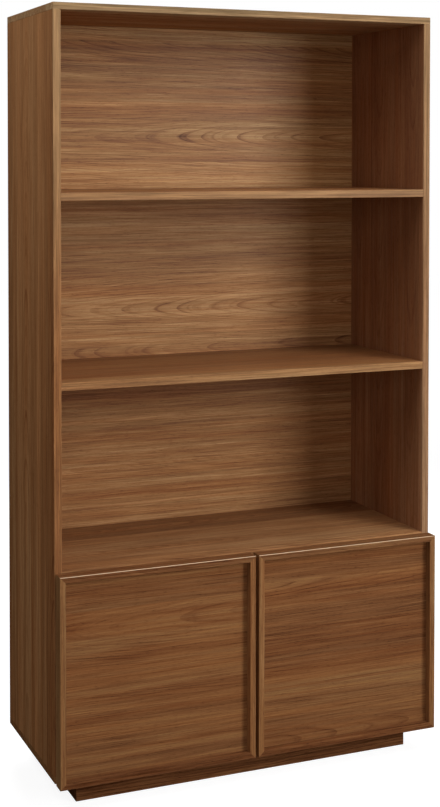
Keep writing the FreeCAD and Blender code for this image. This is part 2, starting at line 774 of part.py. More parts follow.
# ---- All the pieces -------------------------------------------------------------------------------
back_edges = [floor_z - groove_depth + groove_end_play] + back_joint_zs() + [
    top_z + groove_depth - groove_end_play]
back_names = ["cabinet_back_panel", "lower_back_panel", "middle_back_panel", "top_back_panel"]

nodes = {
    "top_panel": [top_panel()],
    "bottom_panel": [bottom_panel()],
    "cabinet_top": [cabinet_top()],
    "middle_shelf": [fixed_shelf(middle_shelf_z)],
    "upper_shelf": [fixed_shelf(upper_shelf_z)],
    "cabinet_shelf": [loose_shelf()],
    "plinth_front": [plinth_end_board(plinth_front_y, plinth_inner_front_y)],
    "plinth_back": [plinth_end_board(plinth_inner_rear_y, plinth_rear_y)],
    "plinth_brace": [plinth_brace()],
    "plinth_blocks": [corner_block(x, y) for x, y in foot_spots if x],
    "plinth_glides": [glide(x, y) for x, y in foot_spots],
    "plinth_screws": plinth_screws(),
    "top_screws": both_sides(top_screws),
    "screw_caps": both_sides(screw_caps),
    "bottom_screws": both_sides(bottom_screws),
    "wooden_dowels": both_sides(dowels),
    "cam_locks": both_sides(cams),
    "cam_bolts": both_sides(bolts),
    "shelf_pins": both_sides([shelf_pin(y) for y in pin_ys]),
    "back_panel_screws": [screw for joint_z in back_joint_zs() for screw in back_screws(joint_z)],
    "hinge_plates": both_sides([hinge_plate(z) for z in hinge_zs]),
    "hinge_arms": both_sides([hinge_arm(z) for z in hinge_zs]),
    "plate_screws": both_sides([screw for z in hinge_zs for screw in plate_screws(z)]),
    "arm_screws": both_sides([arm_screw(z) for z in hinge_zs]),
    "latch_housings": both_sides([latch_housing()]),
    "latch_screws": both_sides(latch_screws()),
}

for index, name in enumerate(back_names):
    below = back_joint / 2 if index > 0 else 0.0
    above = back_joint / 2 if index < len(back_names) - 1 else 0.0
    nodes[name] = [back_panel(back_edges[index] + below, back_edges[index + 1] - above)]

handed_nodes = {
    "side": [left_side()],
    "door_panel": [door_panel()],
    "door_top_rail": [top_rail()],
    "door_bottom_rail": [bottom_rail()],
    "door_hinge_stile": [hinge_stile()],
    "door_meeting_stile": [meeting_stile()],
    "hinge_cups": [hinge_cup(z) for z in hinge_zs],
    "hinge_pins": [hinge_pin(z) for z in hinge_zs],
    "cup_screws": [screw for z in hinge_zs for screw in cup_screws(z)],
    "strike_plate": [strike_plate()],
    "strike_screw": [strike_screw()],
    "latch_plunger": [latch_plunger()],
    "latch_magnet": [latch_magnet()],
}
for name, solids in handed_nodes.items():
    nodes["left_" + name] = solids
    nodes["right_" + name] = [mirrored(solid) for solid in solids]
nodes["plinth_left"] = [plinth_left()]
nodes["plinth_right"] = [mirrored(plinth_left())]

os.makedirs("parts", exist_ok=True)
for name, solids in nodes.items():
    shape = solids[0] if len(solids) == 1 else Part.makeCompound(solids)
    shape.exportStep("parts/" + name + ".step")

print(len(nodes), "nodes,", sum(len(solids) for solids in nodes.values()), "solids")
print("overall", case_width, overall_depth, overall_height)
print("hinge axis", round(hinge_x, 3), round(hinge_y, 3), "hinges at", hinge_zs)
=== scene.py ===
# %% [markdown]
# # A walnut bookcase with a two-door cabinet
# The object is a tall case of veneered boards: three open bays, and below them a cabinet that
# two doors close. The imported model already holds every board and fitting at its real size, so
# this script adds the finish: the light, the veneer, the metal, and finely shaped fittings
# where a plain solid would look too simple.

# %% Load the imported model
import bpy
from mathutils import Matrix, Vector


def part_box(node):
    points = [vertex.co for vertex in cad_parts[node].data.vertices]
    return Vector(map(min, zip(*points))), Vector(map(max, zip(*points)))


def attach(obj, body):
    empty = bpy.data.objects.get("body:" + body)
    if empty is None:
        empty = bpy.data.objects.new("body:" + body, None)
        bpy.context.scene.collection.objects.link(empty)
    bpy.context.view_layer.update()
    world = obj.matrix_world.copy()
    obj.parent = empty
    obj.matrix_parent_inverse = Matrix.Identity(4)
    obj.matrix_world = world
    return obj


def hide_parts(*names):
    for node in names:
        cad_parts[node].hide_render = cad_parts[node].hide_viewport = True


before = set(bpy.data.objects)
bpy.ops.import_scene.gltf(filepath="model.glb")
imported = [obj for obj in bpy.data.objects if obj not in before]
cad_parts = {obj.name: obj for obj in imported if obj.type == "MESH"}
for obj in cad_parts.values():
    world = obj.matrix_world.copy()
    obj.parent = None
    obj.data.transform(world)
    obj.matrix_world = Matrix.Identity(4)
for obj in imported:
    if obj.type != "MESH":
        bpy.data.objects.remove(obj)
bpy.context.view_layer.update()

# %% Modules
import math
from contextlib import contextmanager

import bmesh
import bpy
from mathutils import Matrix, Vector

# %% [markdown]
# ## Camera
# A long lens a few metres away keeps a tall piece of furniture from looking distorted. The
# camera stands left of the case, near the height of the upper shelf, and looks almost level,
# so the uprights stay close to parallel. The picture's centre lies far below the lens axis:
# the vertical shift slides the frame down instead of tilting the camera further.

# %% Camera
camera_place = (-1.3911, -3.2335, 1.4373)
camera_turn = 22.41         # degrees to the right of straight ahead
camera_dip = 1.669          # degrees below level
lens_length = 65.05
frame_shift = (0.0248, -0.25)

camera_data = bpy.data.cameras.new("camera")
camera_data.lens = lens_length
camera_data.sensor_width = 36.0
camera_data.shift_x, camera_data.shift_y = frame_shift
camera = bpy.data.objects.new("camera", camera_data)
camera.location = camera_place
camera.rotation_euler = (math.radians(90 - camera_dip), 0.0, math.radians(-camera_turn))
bpy.context.scene.collection.objects.link(camera)
bpy.context.scene.camera = camera
bpy.context.scene.view_settings.view_transform = "Standard"
print("camera at", camera_place)


# %% [markdown]
# ## Shader arithmetic
# A procedural material is a formula that is worked out at each point of a surface. Node by
# node, such formulas are hard to read, so a small class stands for the output of a node, and
# adding or multiplying two of them adds the Math node that does it.

# %% Amounts that add and multiply
def feed(socket, value):
    """Give a node's input a number, a colour, or the output of another node."""
    if isinstance(value, Amount):
        socket.id_data.links.new(value.socket, socket)
    else:
        socket.default_value = value


def shader_node(tree, kind, inputs, **settings):
    node = tree.nodes.new("ShaderNode" + kind)
    for name, value in settings.items():
        setattr(node, name, value)
    for name, value in inputs.items():
        feed(node.inputs[name], value)
    return node


class Amount:
    """A number, colour or place that a material works out at each point."""

    def __init__(self, socket):
        self.socket = socket
        self.tree = socket.id_data

    def maths(self, operation, *others):
        inputs = dict(enumerate((self,) + others))
        return Amount(shader_node(self.tree, "Math", inputs, operation=operation).outputs[0])

    def __add__(self, other):
        return self.maths("ADD", other)

    def __sub__(self, other):
        return self.maths("SUBTRACT", other)

    def __mul__(self, other):
        return self.maths("MULTIPLY", other)

    def __truediv__(self, other):
        return self.maths("DIVIDE", other)

    def between(self, low, high):
        """0 below low, 1 above high, and a smooth rise between them."""
        inputs = {"Value": self, "From Min": low, "From Max": high}
        node = shader_node(self.tree, "MapRange", inputs, interpolation_type="SMOOTHSTEP")
        return Amount(node.outputs[0])


print("shader arithmetic ready")


# %% [markdown]
# The pattern helpers come next. A noise that is squeezed across the grain and stretched along
# it looks like fibres. Stretching is done to the place that the noise reads, so one function
# takes the place and how many spots per metre there are along each axis.

# %% Noise, colour and bump
def linear(channel):
    """One colour channel from 0 to 255, as light."""
    share = channel / 255
    return share / 12.92 if share <= 0.04045 else ((share + 0.055) / 1.055) ** 2.4


def colour(red, green, blue):
    return (linear(red), linear(green), linear(blue), 1.0)


def place(x, y, z):
    """A place from three amounts."""
    return Amount(shader_node(x.tree, "CombineXYZ", {"X": x, "Y": y, "Z": z}).outputs[0])


def stretched(where, spots):
    """where, multiplied by the spots per metre along each axis."""
    node = shader_node(where.tree, "VectorMath", {0: where, 1: spots}, operation="MULTIPLY")
    return Amount(node.outputs[0])


def noise(where, spots, detail=1.0, rough=0.5):
    """Soft random spots around 0, mostly within -0.5 and 0.5."""
    inputs = {"Vector": stretched(where, spots), "Scale": 1.0, "Detail": detail, "Roughness": rough}
    return Amount(shader_node(where.tree, "TexNoise", inputs).outputs[0]) - 0.5


def blended(factor, first, second, blend_type="MIX"):
    """first where factor is 0, second where it is 1."""
    node = shader_node(factor.tree, "Mix", {}, data_type="RGBA", blend_type=blend_type)
    for socket, value in zip((node.inputs[0], node.inputs[6], node.inputs[7]), (factor, first, second)):
        feed(socket, value)
    return Amount(node.outputs[2])


def shaded(tone, steps):
    """The colour for a tone from 0 to 1; steps lists (tone, colour)."""
    node = shader_node(tone.tree, "ValToRGB", {"Fac": tone})
    ramp = node.color_ramp
    while len(ramp.elements) < len(steps):
        ramp.elements.new(0.5)
    for element, (position, paint) in zip(ramp.elements, steps):
        element.position = position
        element.color = paint
    return Amount(node.outputs[0])


def bumped(height, depth):
    """A surface raised by height, whose full range is depth metres."""
    node = shader_node(height.tree, "Bump", {"Height": height, "Distance": depth, "Strength": 1.0})
    return Amount(node.outputs[0])


print("pattern helpers ready")


# %% New materials
def new_material(name, **surface):
    """A material and the place on the piece that its patterns read."""
    material = bpy.data.materials.new(name)
    material.use_nodes = True
    tree = material.node_tree
    coordinates = shader_node(tree, "TexCoord", {})
    paint(material, **surface)
    return material, Amount(coordinates.outputs["Object"])


def paint(material, **surface):
    """Set inputs of the material's surface, such as Base_Color or Roughness."""
    shader = material.node_tree.nodes["Principled BSDF"]
    for name, value in surface.items():
        feed(shader.inputs[name.replace("_", " ")], value)


print("material helper ready")


# %% [markdown]
# ## Studio
# The case stands on a pale floor in plain soft light. One tall soft lamp stands in front and
# to the right. It reaches under the shelves to the back panels, and the right-hand side throws
# a soft shadow on them. A lamp overhead lights the upper faces, a wide one far in front opens
# the shadows, a small one lights the left side, and one behind lights the back. All are flat
# area lamps, because a lamp's size is what softens the edge of a shadow. Those overhead and far
# in front are a little warm and the others a little cool, as lamp and daylight are in a room.
# The camera, and anything that mirrors, sees a white surround that gives no light.

# %% Surround
surround_light = 0.0


def seen_directly(tree):
    """1 for the camera and for mirrors and glass, 0 for everything that the light falls on."""
    rays = shader_node(tree, "LightPath", {})
    seen = Amount(rays.outputs["Is Camera Ray"])
    seen = seen.maths("MAXIMUM", Amount(rays.outputs["Is Glossy Ray"]))
    return seen.maths("MAXIMUM", Amount(rays.outputs["Is Transmission Ray"]))


world = bpy.data.worlds.new("studio")
bpy.context.scene.world = world
world.use_nodes = True
tree = world.node_tree
tree.nodes.clear()
dim = shader_node(tree, "Background", {"Strength": surround_light})
white = shader_node(tree, "Background", {"Strength": 1.0})
for background in (dim, white):
    background.inputs["Color"].default_value = (1.0, 1.0, 1.0, 1.0)
both = {0: seen_directly(tree), 1: Amount(dim.outputs[0]), 2: Amount(white.outputs[0])}
mixed = shader_node(tree, "MixShader", both)
shader_node(tree, "OutputWorld", {"Surface": Amount(mixed.outputs[0])})
print("surround", surround_light)

# %% Lamps
def soft_lamp(name, location, target, width, height, power, spread, shade):
    """A flat soft lamp that faces target; a narrow spread keeps its light off the floor."""
    lamp_data = bpy.data.lights.new(name, "AREA")
    lamp_data.shape = "RECTANGLE"
    lamp_data.size = width
    lamp_data.size_y = height
    lamp_data.energy = power
    lamp_data.spread = math.radians(spread)
    lamp_data.color = shade
    lamp = bpy.data.objects.new(name, lamp_data)
    lamp.location = location
    lamp.rotation_euler = (Vector(target) - Vector(location)).to_track_quat("-Z", "Y").to_euler()
    bpy.context.scene.collection.objects.link(lamp)
    return lamp


cool_light = (0.98, 1.01, 1.03)
warm_light = (1.0, 0.93, 0.89)
# name, location, what it faces, width, height, power, spread in degrees, colour of its light
lamp_list = [
    ("tall_lamp", (2.2, -3.4, 2.35), (0.0, -0.15, 1.7), 1.5, 2.7, 30.0, 80.0, cool_light),
    ("overhead_lamp", (0.5, -1.2, 2.9), (0.1, -0.1, 1.0), 1.8, 1.0, 22.0, 180.0, warm_light),
    ("front_fill", (-1.6, -5.0, 1.8), (0.0, -0.15, 1.1), 2.6, 2.6, 47.0, 180.0, warm_light),
    ("left_fill", (-1.7, -0.3, 2.7), (-0.47, 0.0, 1.5), 1.0, 1.4, 7.6, 120.0, cool_light),
    ("rear_lamp", (0.9, 3.4, 2.3), (0.0, 0.2, 0.9), 2.0, 2.0, 60.0, 100.0, cool_light),
]
for lamp_row in lamp_list:
    lamp = soft_lamp(*lamp_row)
    print(lamp.name, [round(value, 2) for value in lamp.rotation_euler])

# %% Floor
floor_half_width = 12.0
near_whiteness = 0.90       # light that the floor gives off to the camera by itself, at the case
far_whiteness = 1.0
whiteness_reach = (1.2, 5.0)    # from the case, between the two
floor_shade = colour(150, 150, 150)
bpy.ops.object.select_all(action="DESELECT")
bpy.ops.mesh.primitive_plane_add(size=2 * floor_half_width, location=(0.0, 0.0, 0.0))
floor = bpy.context.object
floor.name = "floor"
floor_material = bpy.data.materials.new("pale_floor")
floor_material.use_nodes = True
tree = floor_material.node_tree
tree.nodes.clear()
here = Amount(shader_node(tree, "TexCoord", {}).outputs["Object"])
matt = shader_node(tree, "BsdfDiffuse", {"Color": floor_shade})
distance = Amount(shader_node(tree, "VectorMath", {0: here}, operation="LENGTH").outputs["Value"])
whiteness = distance.between(*whiteness_reach) * (far_whiteness - near_whiteness) + near_whiteness
glow = {"Color": (1.0, 1.0, 1.0, 1.0), "Strength": seen_directly(tree) * whiteness}
glow = shader_node(tree, "Emission", glow)
both = shader_node(tree, "AddShader", {0: Amount(matt.outputs[0]), 1: Amount(glow.outputs[0])})
shader_node(tree, "OutputMaterial", {"Surface": Amount(both.outputs[0])})
floor.data.materials.append(floor_material)
print("floor", floor.dimensions)

# %% [markdown]
# ## Walnut
# The boards are veneered. Veneer comes off the log in leaves about a hand wide, which are laid
# side by side, so each leaf shows its own cut through the tree's rings. Near the middle of a
# leaf the rings are cut flat and draw long arches, and at its edges they run straight. A wave
# texture could draw such lines, but as evenly as stripes, and they would never close in arches.
# Each leaf is therefore worked out as a real cut: the distance of each point from the tree's
# heart, which slopes slowly away from the leaf and back, gives the ring that the point lies in.
# Two leaves differ in the stretch of the tree that they show and in their tone.

# %% Leaves of veneer
ring_gap = 0.0030           # between one year's ring and the next
nearest_heart = 0.018       # from a leaf to the tree's heart, at the least
tree_length = 3.0           # stretch of the tree that the leaves are picked from
usual_leaf = 0.15           # width of a leaf


def leaf_cut(where, leaf_width, heart_depth, spread, slope, seed):
    """The ring number at each point of the leaves, each leaf's own tone, and the place moved with it."""
    split = shader_node(where.tree, "SeparateXYZ", {0: where})
    along, across, inward = (Amount(split.outputs[i]) for i in range(3))
    leaf = (across / leaf_width + seed).maths("FLOOR")
    pick = shader_node(where.tree, "TexWhiteNoise", {"W": leaf}, noise_dimensions="1D")
    chances = shader_node(where.tree, "SeparateColor", {0: Amount(pick.outputs["Color"])})
    shift, tone, turn = (Amount(chances.outputs[i]) for i in range(3))
    leaf_middle = (leaf - seed + (shift - 0.5) * spread + 0.5) * leaf_width
    upward = along + turn * tree_length
    moved = place(upward, across, inward)
    # How far, in metres, the tree's heart wanders beside the leaf, at three scales.
    sway = noise(moved, (0.8, 1.6, 1.6)) * 0.04
    ripple = noise(moved, (3.4, 11.0, 11.0), 2.0) * 0.009
    quiver = noise(moved, (20.0, 90.0, 90.0), 2.0) * 0.0020
    sideways = across - leaf_middle + sway + ripple + quiver
    heart = upward * slope + noise(moved, (1.3, 1.0, 1.0), 2.0) * 0.016
    depth = inward + heart.maths("PINGPONG", heart_depth) + turn * 0.03 + nearest_heart
    radius = (sideways * sideways + depth * depth).maths("SQRT")
    return radius / ring_gap, tone, moved


print("rings in a leaf's width", round(usual_leaf / ring_gap))

# %% [markdown]
# The lines come from the ring number. Its fraction says where in the year a point grew: the
# wood darkens slowly and ends in a thin line, which fades in and out along the grain. Years
# differ in width, and good and lean spells give broad bands. Fibres and pores are noises of
# their own, each finer than the one before and stretched along the grain.

# %% Growth lines and fibres
line_depth = 0.26           # how much a growth line darkens the tone, which runs from 0 to 1
stroke_depth = 0.28         # the same for the short dark strokes that follow the rings
pore_depth = 0.28


def growth(ring, along, leaf_tone):
    """How dark the lines of the years are, and the paler and darker spells of years."""
    years = place(ring, ring * 0.0, ring * 0.0)
    grown = place(ring, along + leaf_tone * 5.0, ring * 0.0)
    within = (ring + noise(years, (0.31, 1.0, 1.0), 1.0) * 2.6).maths("FRACT")
    late_wood = within.between(0.30, 1.0) * within.between(0.0, 0.08)
    line = within.between(0.70, 1.0) * noise(grown, (0.9, 3.5, 1.0), 1.0).between(-0.10, 0.20)
    stroke = noise(grown, (2.6, 4.5, 1.0), 2.0, 0.6).between(0.02, 0.26)
    spells = noise(years, (0.075, 1.0, 1.0), 2.0)
    return late_wood * 0.07 + line * line_depth + stroke * stroke_depth, spells


def fibres(moved):
    """Streaks, all that is finer than a streak, threads alone, and pores."""
    streak = noise(moved, (0.6, 30.0, 30.0), 3.0, 0.6)
    ribbon = noise(moved, (1.6, 110.0, 110.0), 2.0, 0.6)
    thread = noise(moved, (5.0, 230.0, 230.0), 3.0, 0.7)
    fibre = noise(moved, (9.0, 620.0, 620.0), 2.0, 0.6)
    pore = noise(moved, (60.0, 1300.0, 1300.0), 1.0).between(0.10, 0.26)
    return streak, ribbon * 0.34 + thread * 0.62 + fibre * 0.55, thread, pore


print("line depth", line_depth, "pore depth", pore_depth)

# %% [markdown]
# The front edge of each board carries a strip of edging, a little paler than its faces. Near the
# top it is paler still, from a painted sheen of the lamps, and the upper part of a side can get a
# little of the same painted sheen. A board's colour is looked up from its tone, and then turned
# towards gold or towards red in slow patches.

# %% Walnut veneer
front_edge_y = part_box("left_side")[0].y
edge_band = 0.0013          # depth of the edging
sheen_heights = (0.9, 1.8)   # painted sheen pales the edging and the sides between these heights
edge_paleness = (0.10, 0.55)    # share of the edge shade below and above them; the rise between them is painted sheen
edge_shade = colour(168, 141, 104)
golden = (0.99, 1.00, 0.97) # the wood's colour is multiplied by these two in turn
reddish = (1.0, 0.83, 0.72, 1.0)
walnut_steps = [
    (0.00, colour(44, 23, 12)),
    (0.25, colour(86, 51, 31)),
    (0.50, colour(128, 86, 56)),
    (0.72, colour(155, 113, 74)),
    (1.00, colour(196, 155, 110)),
]
middle_tone = 0.70


def on_edging(depth):
    """1 on the strip of edging along the front of a board, and 0 elsewhere."""
    behind = depth.between(front_edge_y + edge_band, front_edge_y + edge_band / 2)
    return behind * depth.between(front_edge_y - edge_band, front_edge_y - edge_band / 2)


def walnut(name, grain, across, inward, seed, leaf_width=usual_leaf, heart_depth=0.09, spread=1.6,
           slope=0.026, face=0.0, lift=0.0, drift=(0.0, 1.0, 0.0), bands=1.0, figure=1.0, streaks=1.0,
           redness=1.0, tint=(1.0, 1.0, 1.0), edge_tone=1.0, top_sheen=0.0, shine=0.05):
    """Veneer with its grain along one axis (0, 1 or 2), its leaves side by side along another.

    face is where the board lies along the third axis. The tree's heart leaves it by slope, up
    to heart_depth, and spread says how far it may lie to the side of a leaf. lift makes the
    wood paler, and drift does so between two heights. bands, figure, streaks and redness say
    how strong the broad bands, the growth lines, the fibres and the red patches are. tint
    multiplies the wood's colour, and edge_tone makes the edging paler. top_sheen says how much
    painted sheen pales the upper part, and shine is the gloss of the lacquer."""
    material, here = new_material(name, Specular_IOR_Level=shine)
    split = shader_node(here.tree, "SeparateXYZ", {0: here})
    axes = [Amount(split.outputs[i]) for i in (grain, across, inward)]
    depth, height = (Amount(split.outputs[i]) for i in (1, 2))
    along_shift, across_shift = seed * 1.37, seed * 0.71
    where = place(axes[0] + along_shift, axes[1] + across_shift, axes[2] - face)
    ring, leaf_tone, moved = leaf_cut(where, leaf_width, heart_depth, spread, slope, seed)
    lines, spells = growth(ring, axes[0], leaf_tone)
    streak, fine, thread, pore = fibres(moved)
    fade = noise(moved, (4.0, 22.0, 22.0), 1.0) + 0.62
    low, high, change = drift
    tone = ((spells * 0.40 + streak * 0.43 + (leaf_tone - 0.5) * 0.26) * bands + fine * streaks
            - lines * fade * figure - pore * pore_depth
            + height.between(low, high) * change + (middle_tone + lift))
    wood = stretched(shaded(tone, walnut_steps), tint)
    warmth = noise(moved, (0.6, 15.0, 15.0), 3.0, 0.6) + noise(moved, (2.0, 140.0, 140.0), 1.0) * 0.5
    warmth = warmth.between(-0.25, 0.25) * redness
    wood = blended(warmth, stretched(wood, golden), reddish, "MULTIPLY")
    # Painted sheen: the upper part is blended towards the pale edge shade, from none below the sheen
    # heights to the full share above.
    sheen_rise = height.between(*sheen_heights)
    wood = blended(sheen_rise * top_sheen, wood, edge_shade)
    low_share, high_share = edge_paleness
    strength = thread * 1.4 + edge_tone
    # The edging: its own paleness, and above that a painted sheen that grows with height.
    edging = blended(sheen_rise * (high_share - low_share) + low_share, wood, edge_shade)
    edging = stretched(edging, place(strength, strength, strength))
    rough = noise(moved, (6.0, 160.0, 160.0), 2.0) * 0.16 + pore * 0.12 + 0.42
    paint(material, Base_Color=blended(on_edging(depth), wood, edging), Roughness=rough,
          Normal=bumped(tone * 0.25 - pore, 0.00006))
    return material


X, Y, Z = 0, 1, 2
print("walnut tones", len(walnut_steps))

# %% [markdown]
# With one material for all, the same leaf would run through shelf after shelf. On the real
# case every board is its own cut, so each gets its own seed and small differences. The sides
# have their grain upright, and the shelves, backs and doors have it across. The backs show
# most figure, and the narrow rims of the doors have almost straight lines.

# %% Finishes of the boards


def middle(name, axis):
    """The middle of a board along an axis."""
    low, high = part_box(name)
    return (low[axis] + high[axis]) / 2


back_inset = 0.002          # from the plane that the leaves are cut along to the backs' front
back_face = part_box("lower_back_panel")[0].y - back_inset
side_look = {"leaf_width": 0.12, "heart_depth": 0.16, "spread": 2.6, "shine": 0.0}
flat_look = {"leaf_width": 0.13, "slope": 0.05, "bands": 0.6}
back_look = {"face": back_face, "slope": 0.032, "heart_depth": 0.07}
door_look = {"leaf_width": 0.19, "heart_depth": 0.10, "streaks": 0.75, "shine": 0.02,
             "drift": (0.08, 0.30, -0.05), "tint": (1.01, 1.01, 0.98)}
rim_look = {"leaf_width": 0.05, "heart_depth": 0.2, "spread": 2.6, "figure": 0.6, "shine": 0.0}
plinth_look = {"leaf_width": 0.09, "heart_depth": 0.12, "lift": -0.33, "shine": 0.0,
               "tint": (1.0, 0.92, 0.84)}
board_finishes = {
    # The left side's upper part gets a little painted sheen.
    "left_side": walnut("walnut_left_side", Z, Y, X, 2.3, face=middle("left_side", X), lift=0.03,
                        tint=(1.04, 0.91, 0.86), figure=0.8, streaks=0.8, edge_tone=0.93, top_sheen=0.13,
                        **side_look),
    # The right side is painted darker towards its top, which evens out the light that falls more strongly
    # on its upper part.
    "right_side": walnut("walnut_right_side", Z, Y, X, 5.1, face=middle("right_side", X), lift=0.11,
                         tint=(1.0, 1.02, 1.25), figure=0.4, streaks=0.55, edge_tone=0.75,
                         drift=(0.5, 1.7, -0.12), **side_look),
}
flat_boards = {
    "top_panel": {"seed": 3.7, "lift": 0.15, "tint": (1.0, 1.14, 1.36), "edge_tone": 0.62, "shine": 0.0},
    "bottom_panel": {"seed": 9.2, "shine": 0.0},
    "cabinet_top": {"seed": 4.4, "lift": -0.01, "tint": (1.0, 1.0, 1.06), "shine": 0.02},
    "middle_shelf": {"seed": 6.8, "lift": -0.06, "figure": 0.5, "streaks": 0.6},
    "upper_shelf": {"seed": 7.5, "lift": -0.05},
    "cabinet_shelf": {"seed": 8.1},
}
for name, own in flat_boards.items():
    board_finishes[name] = walnut("walnut_" + name, X, Y, Z, face=middle(name, Z), **flat_look, **own)
backs = {
    "cabinet_back": {"seed": 2.9},
    # The lower back is painted darker at its top, just under the middle shelf: painted shade.
    "lower_back": {"seed": 11.6, "lift": 0.05, "drift": (0.74, 0.90, -0.10), "figure": 0.8,
                   "tint": (1.0, 1.0, 1.02), "shine": 0.08},
    # The middle back is painted paler at its top, just under the upper shelf: painted light that thins the
    # shelf's shadow there.
    "middle_back": {"seed": 110.5, "lift": 0.04, "drift": (1.18, 1.32, 0.12), "figure": 1.2, "shine": 0.10},
    "top_back": {"seed": 167.0, "lift": 0.08, "figure": 1.4, "tint": (0.98, 1.00, 0.97), "shine": 0.12},
}
for name, own in backs.items():
    board_finishes[name + "_panel"] = walnut("walnut_" + name, X, Z, Y, **back_look, **own)
for hand, seed, lift in (("left", 168.4, -0.135), ("right", 170.5, -0.095)):
    finish = walnut(f"walnut_{hand}_door", X, Z, Y, seed, lift=lift, **door_look)
    board_finishes[f"{hand}_door_panel"] = finish
top_rail_finish = walnut("walnut_top_rails", X, Z, Y, 21.0, lift=-0.30, **rim_look)
rim_finishes = {
    "top_rail": top_rail_finish,
    "bottom_rail": walnut("walnut_bottom_rails", X, Z, Y, 22.0, lift=-0.13, **rim_look),
    "hinge_stile": walnut("walnut_hinge_stiles", Z, X, Y, 23.0, lift=0.01, **rim_look),
    "meeting_stile": walnut("walnut_meeting_stiles", Z, X, Y, 27.0, lift=0.04, tint=(1.0, 1.02, 1.05),
                            **rim_look),
}
plinth_finish = walnut("walnut_plinth", X, Z, Y, 25.0, **plinth_look)
print("walnut finishes", len(board_finishes) + len(rim_finishes) + 1)

# %% [markdown]
# The rounded top front corner of each door catches the light as a thin pale line. That line is a
# painted highlight in the colour of the top rails. A thin strip could be laid there, but a change
# in the colour itself follows the corner exactly and needs no mesh.

# %% Painted highlight on the top arris of the doors
rail_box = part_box("left_door_top_rail")
arris_width = 0.0016
arris_highlight_share = 0.85
arris_highlight = colour(236, 206, 172)
rail_shader = top_rail_finish.node_tree.nodes["Principled BSDF"]
# The top rails' wood colour, which the painted highlight is mixed into.
blend_partner = Amount(rail_shader.inputs["Base Color"].links[0].from_socket)
here = Amount(shader_node(blend_partner.tree, "TexCoord", {}).outputs["Object"])
corner = shader_node(blend_partner.tree, "SeparateXYZ", {0: here})
from_front = Amount(corner.outputs[1]) - rail_box[0].y
from_top = Amount(corner.outputs[2]) * -1.0 + rail_box[1].z
# Painted highlight: a pale colour along the rails' top front corner, where the rounded arris would catch
# the light.
on_arris = from_front.between(arris_width, arris_width / 2) * from_top.between(arris_width, arris_width / 2)
paint(top_rail_finish, Base_Color=blended(on_arris * arris_highlight_share, blend_partner, arris_highlight))
print("arris at", rail_box[0].y, rail_box[1].z)

# %% Boards and their finishes
for hand in ("left", "right"):
    for strip, material in rim_finishes.items():
        board_finishes[f"{hand}_door_{strip}"] = material
for board in ("front", "back", "left", "right"):
    board_finishes["plinth_" + board] = plinth_finish


def finish_node(name, material):
    """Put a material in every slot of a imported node."""
    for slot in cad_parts[name].material_slots:
        slot.material = material


for name, material in board_finishes.items():
    finish_node(name, material)
print("boards finished", len(board_finishes))

# %% [markdown]
# ## Plain woods
# The blocks inside the plinth are softwood, and the dowels are beech. Both are left bare, so
# their grain is quiet: broad growth lines for the softwood, short flecks for the beech. They
# are hardly seen, so two stretched noises do for each, where the veneer needed a whole tree.

# %% Pine and beech
pine, here = new_material("bare_pine", Specular_IOR_Level=0.20)
pine_years = noise(here, (1.0, 9.0, 55.0), 2.0).between(-0.05, 0.20)
pine_fibre = noise(here, (12.0, 300.0, 500.0), 2.0, 0.6)
pine_tone = pine_years * -0.45 + pine_fibre * 0.5 + 0.75
pine_steps = [(0.0, colour(176, 124, 72)), (0.6, colour(214, 176, 122)), (1.0, colour(236, 208, 160))]
paint(pine, Base_Color=shaded(pine_tone, pine_steps), Roughness=pine_fibre * 0.2 + 0.6,
      Normal=bumped(pine_fibre, 0.00008))

beech, here = new_material("bare_beech", Specular_IOR_Level=0.20)
fleck = noise(here, (60.0, 60.0, 900.0), 1.0).between(0.08, 0.20)
beech_tone = noise(here, (20.0, 200.0, 200.0), 2.0) * 0.5 - fleck * 0.35 + 0.6
beech_steps = [(0.0, colour(160, 112, 74)), (1.0, colour(226, 190, 150))]
paint(beech, Base_Color=shaded(beech_tone, beech_steps), Roughness=beech_tone * -0.2 + 0.7,
      Normal=bumped(fleck, -0.00005))
print("plain woods", pine.name, beech.name)

# %% [markdown]
# ## Metals and plastics
# Plated metal is smooth, but never even: it has faint clouds where the plating is thicker and
# hairline scratches from the press or from handling. Cast zinc has a fine grain. The plastics
# are moulded with a light texture that spreads their shine. One recipe serves all the metals,
# with the depth of the scratches and of the grain as its numbers, and a second the plastics.

# %% Metals
def metal(name, shade, roughness, scratch_depth=0.4, grain_depth=0.0):
    """Plated or cast metal; scratch_depth and grain_depth are in hundredths of a millimetre."""
    material, here = new_material(name, Metallic=1.0)
    cloud = noise(here, (160.0, 160.0, 160.0), 2.0)
    scratch = noise(here, (90.0, 4200.0, 900.0), 2.0, 0.6)
    cross_scratch = noise(here, (3800.0, 120.0, 260.0), 2.0, 0.6)
    grain = noise(here, (2600.0, 2600.0, 2600.0), 2.0)
    darker = tuple(0.78 * channel for channel in shade[:3]) + (1.0,)
    base = blended(cloud.between(-0.3, 0.3), darker, shade)
    scuffed = (scratch.between(0.10, 0.26) + cross_scratch.between(0.14, 0.28)) * 0.12
    relief = scratch * scratch_depth + grain * grain_depth
    paint(material, Base_Color=base, Roughness=cloud * 0.14 + scuffed + roughness,
          Normal=bumped(relief, 0.00001))
    return material


nickel = metal("nickel_plate", colour(206, 203, 197), 0.24)
zinc = metal("zinc_plate", colour(198, 200, 206), 0.30)
cast_zinc = metal("cast_zinc", colour(176, 178, 182), 0.46, 0.3, 2.5)
strike_steel = metal("satin_steel", colour(200, 200, 204), 0.34, 1.2)
bright_nickel = metal("bright_nickel", colour(214, 212, 208), 0.14, 0.2)
print("metals", [material.name for material in (nickel, zinc, cast_zinc, strike_steel, bright_nickel)])

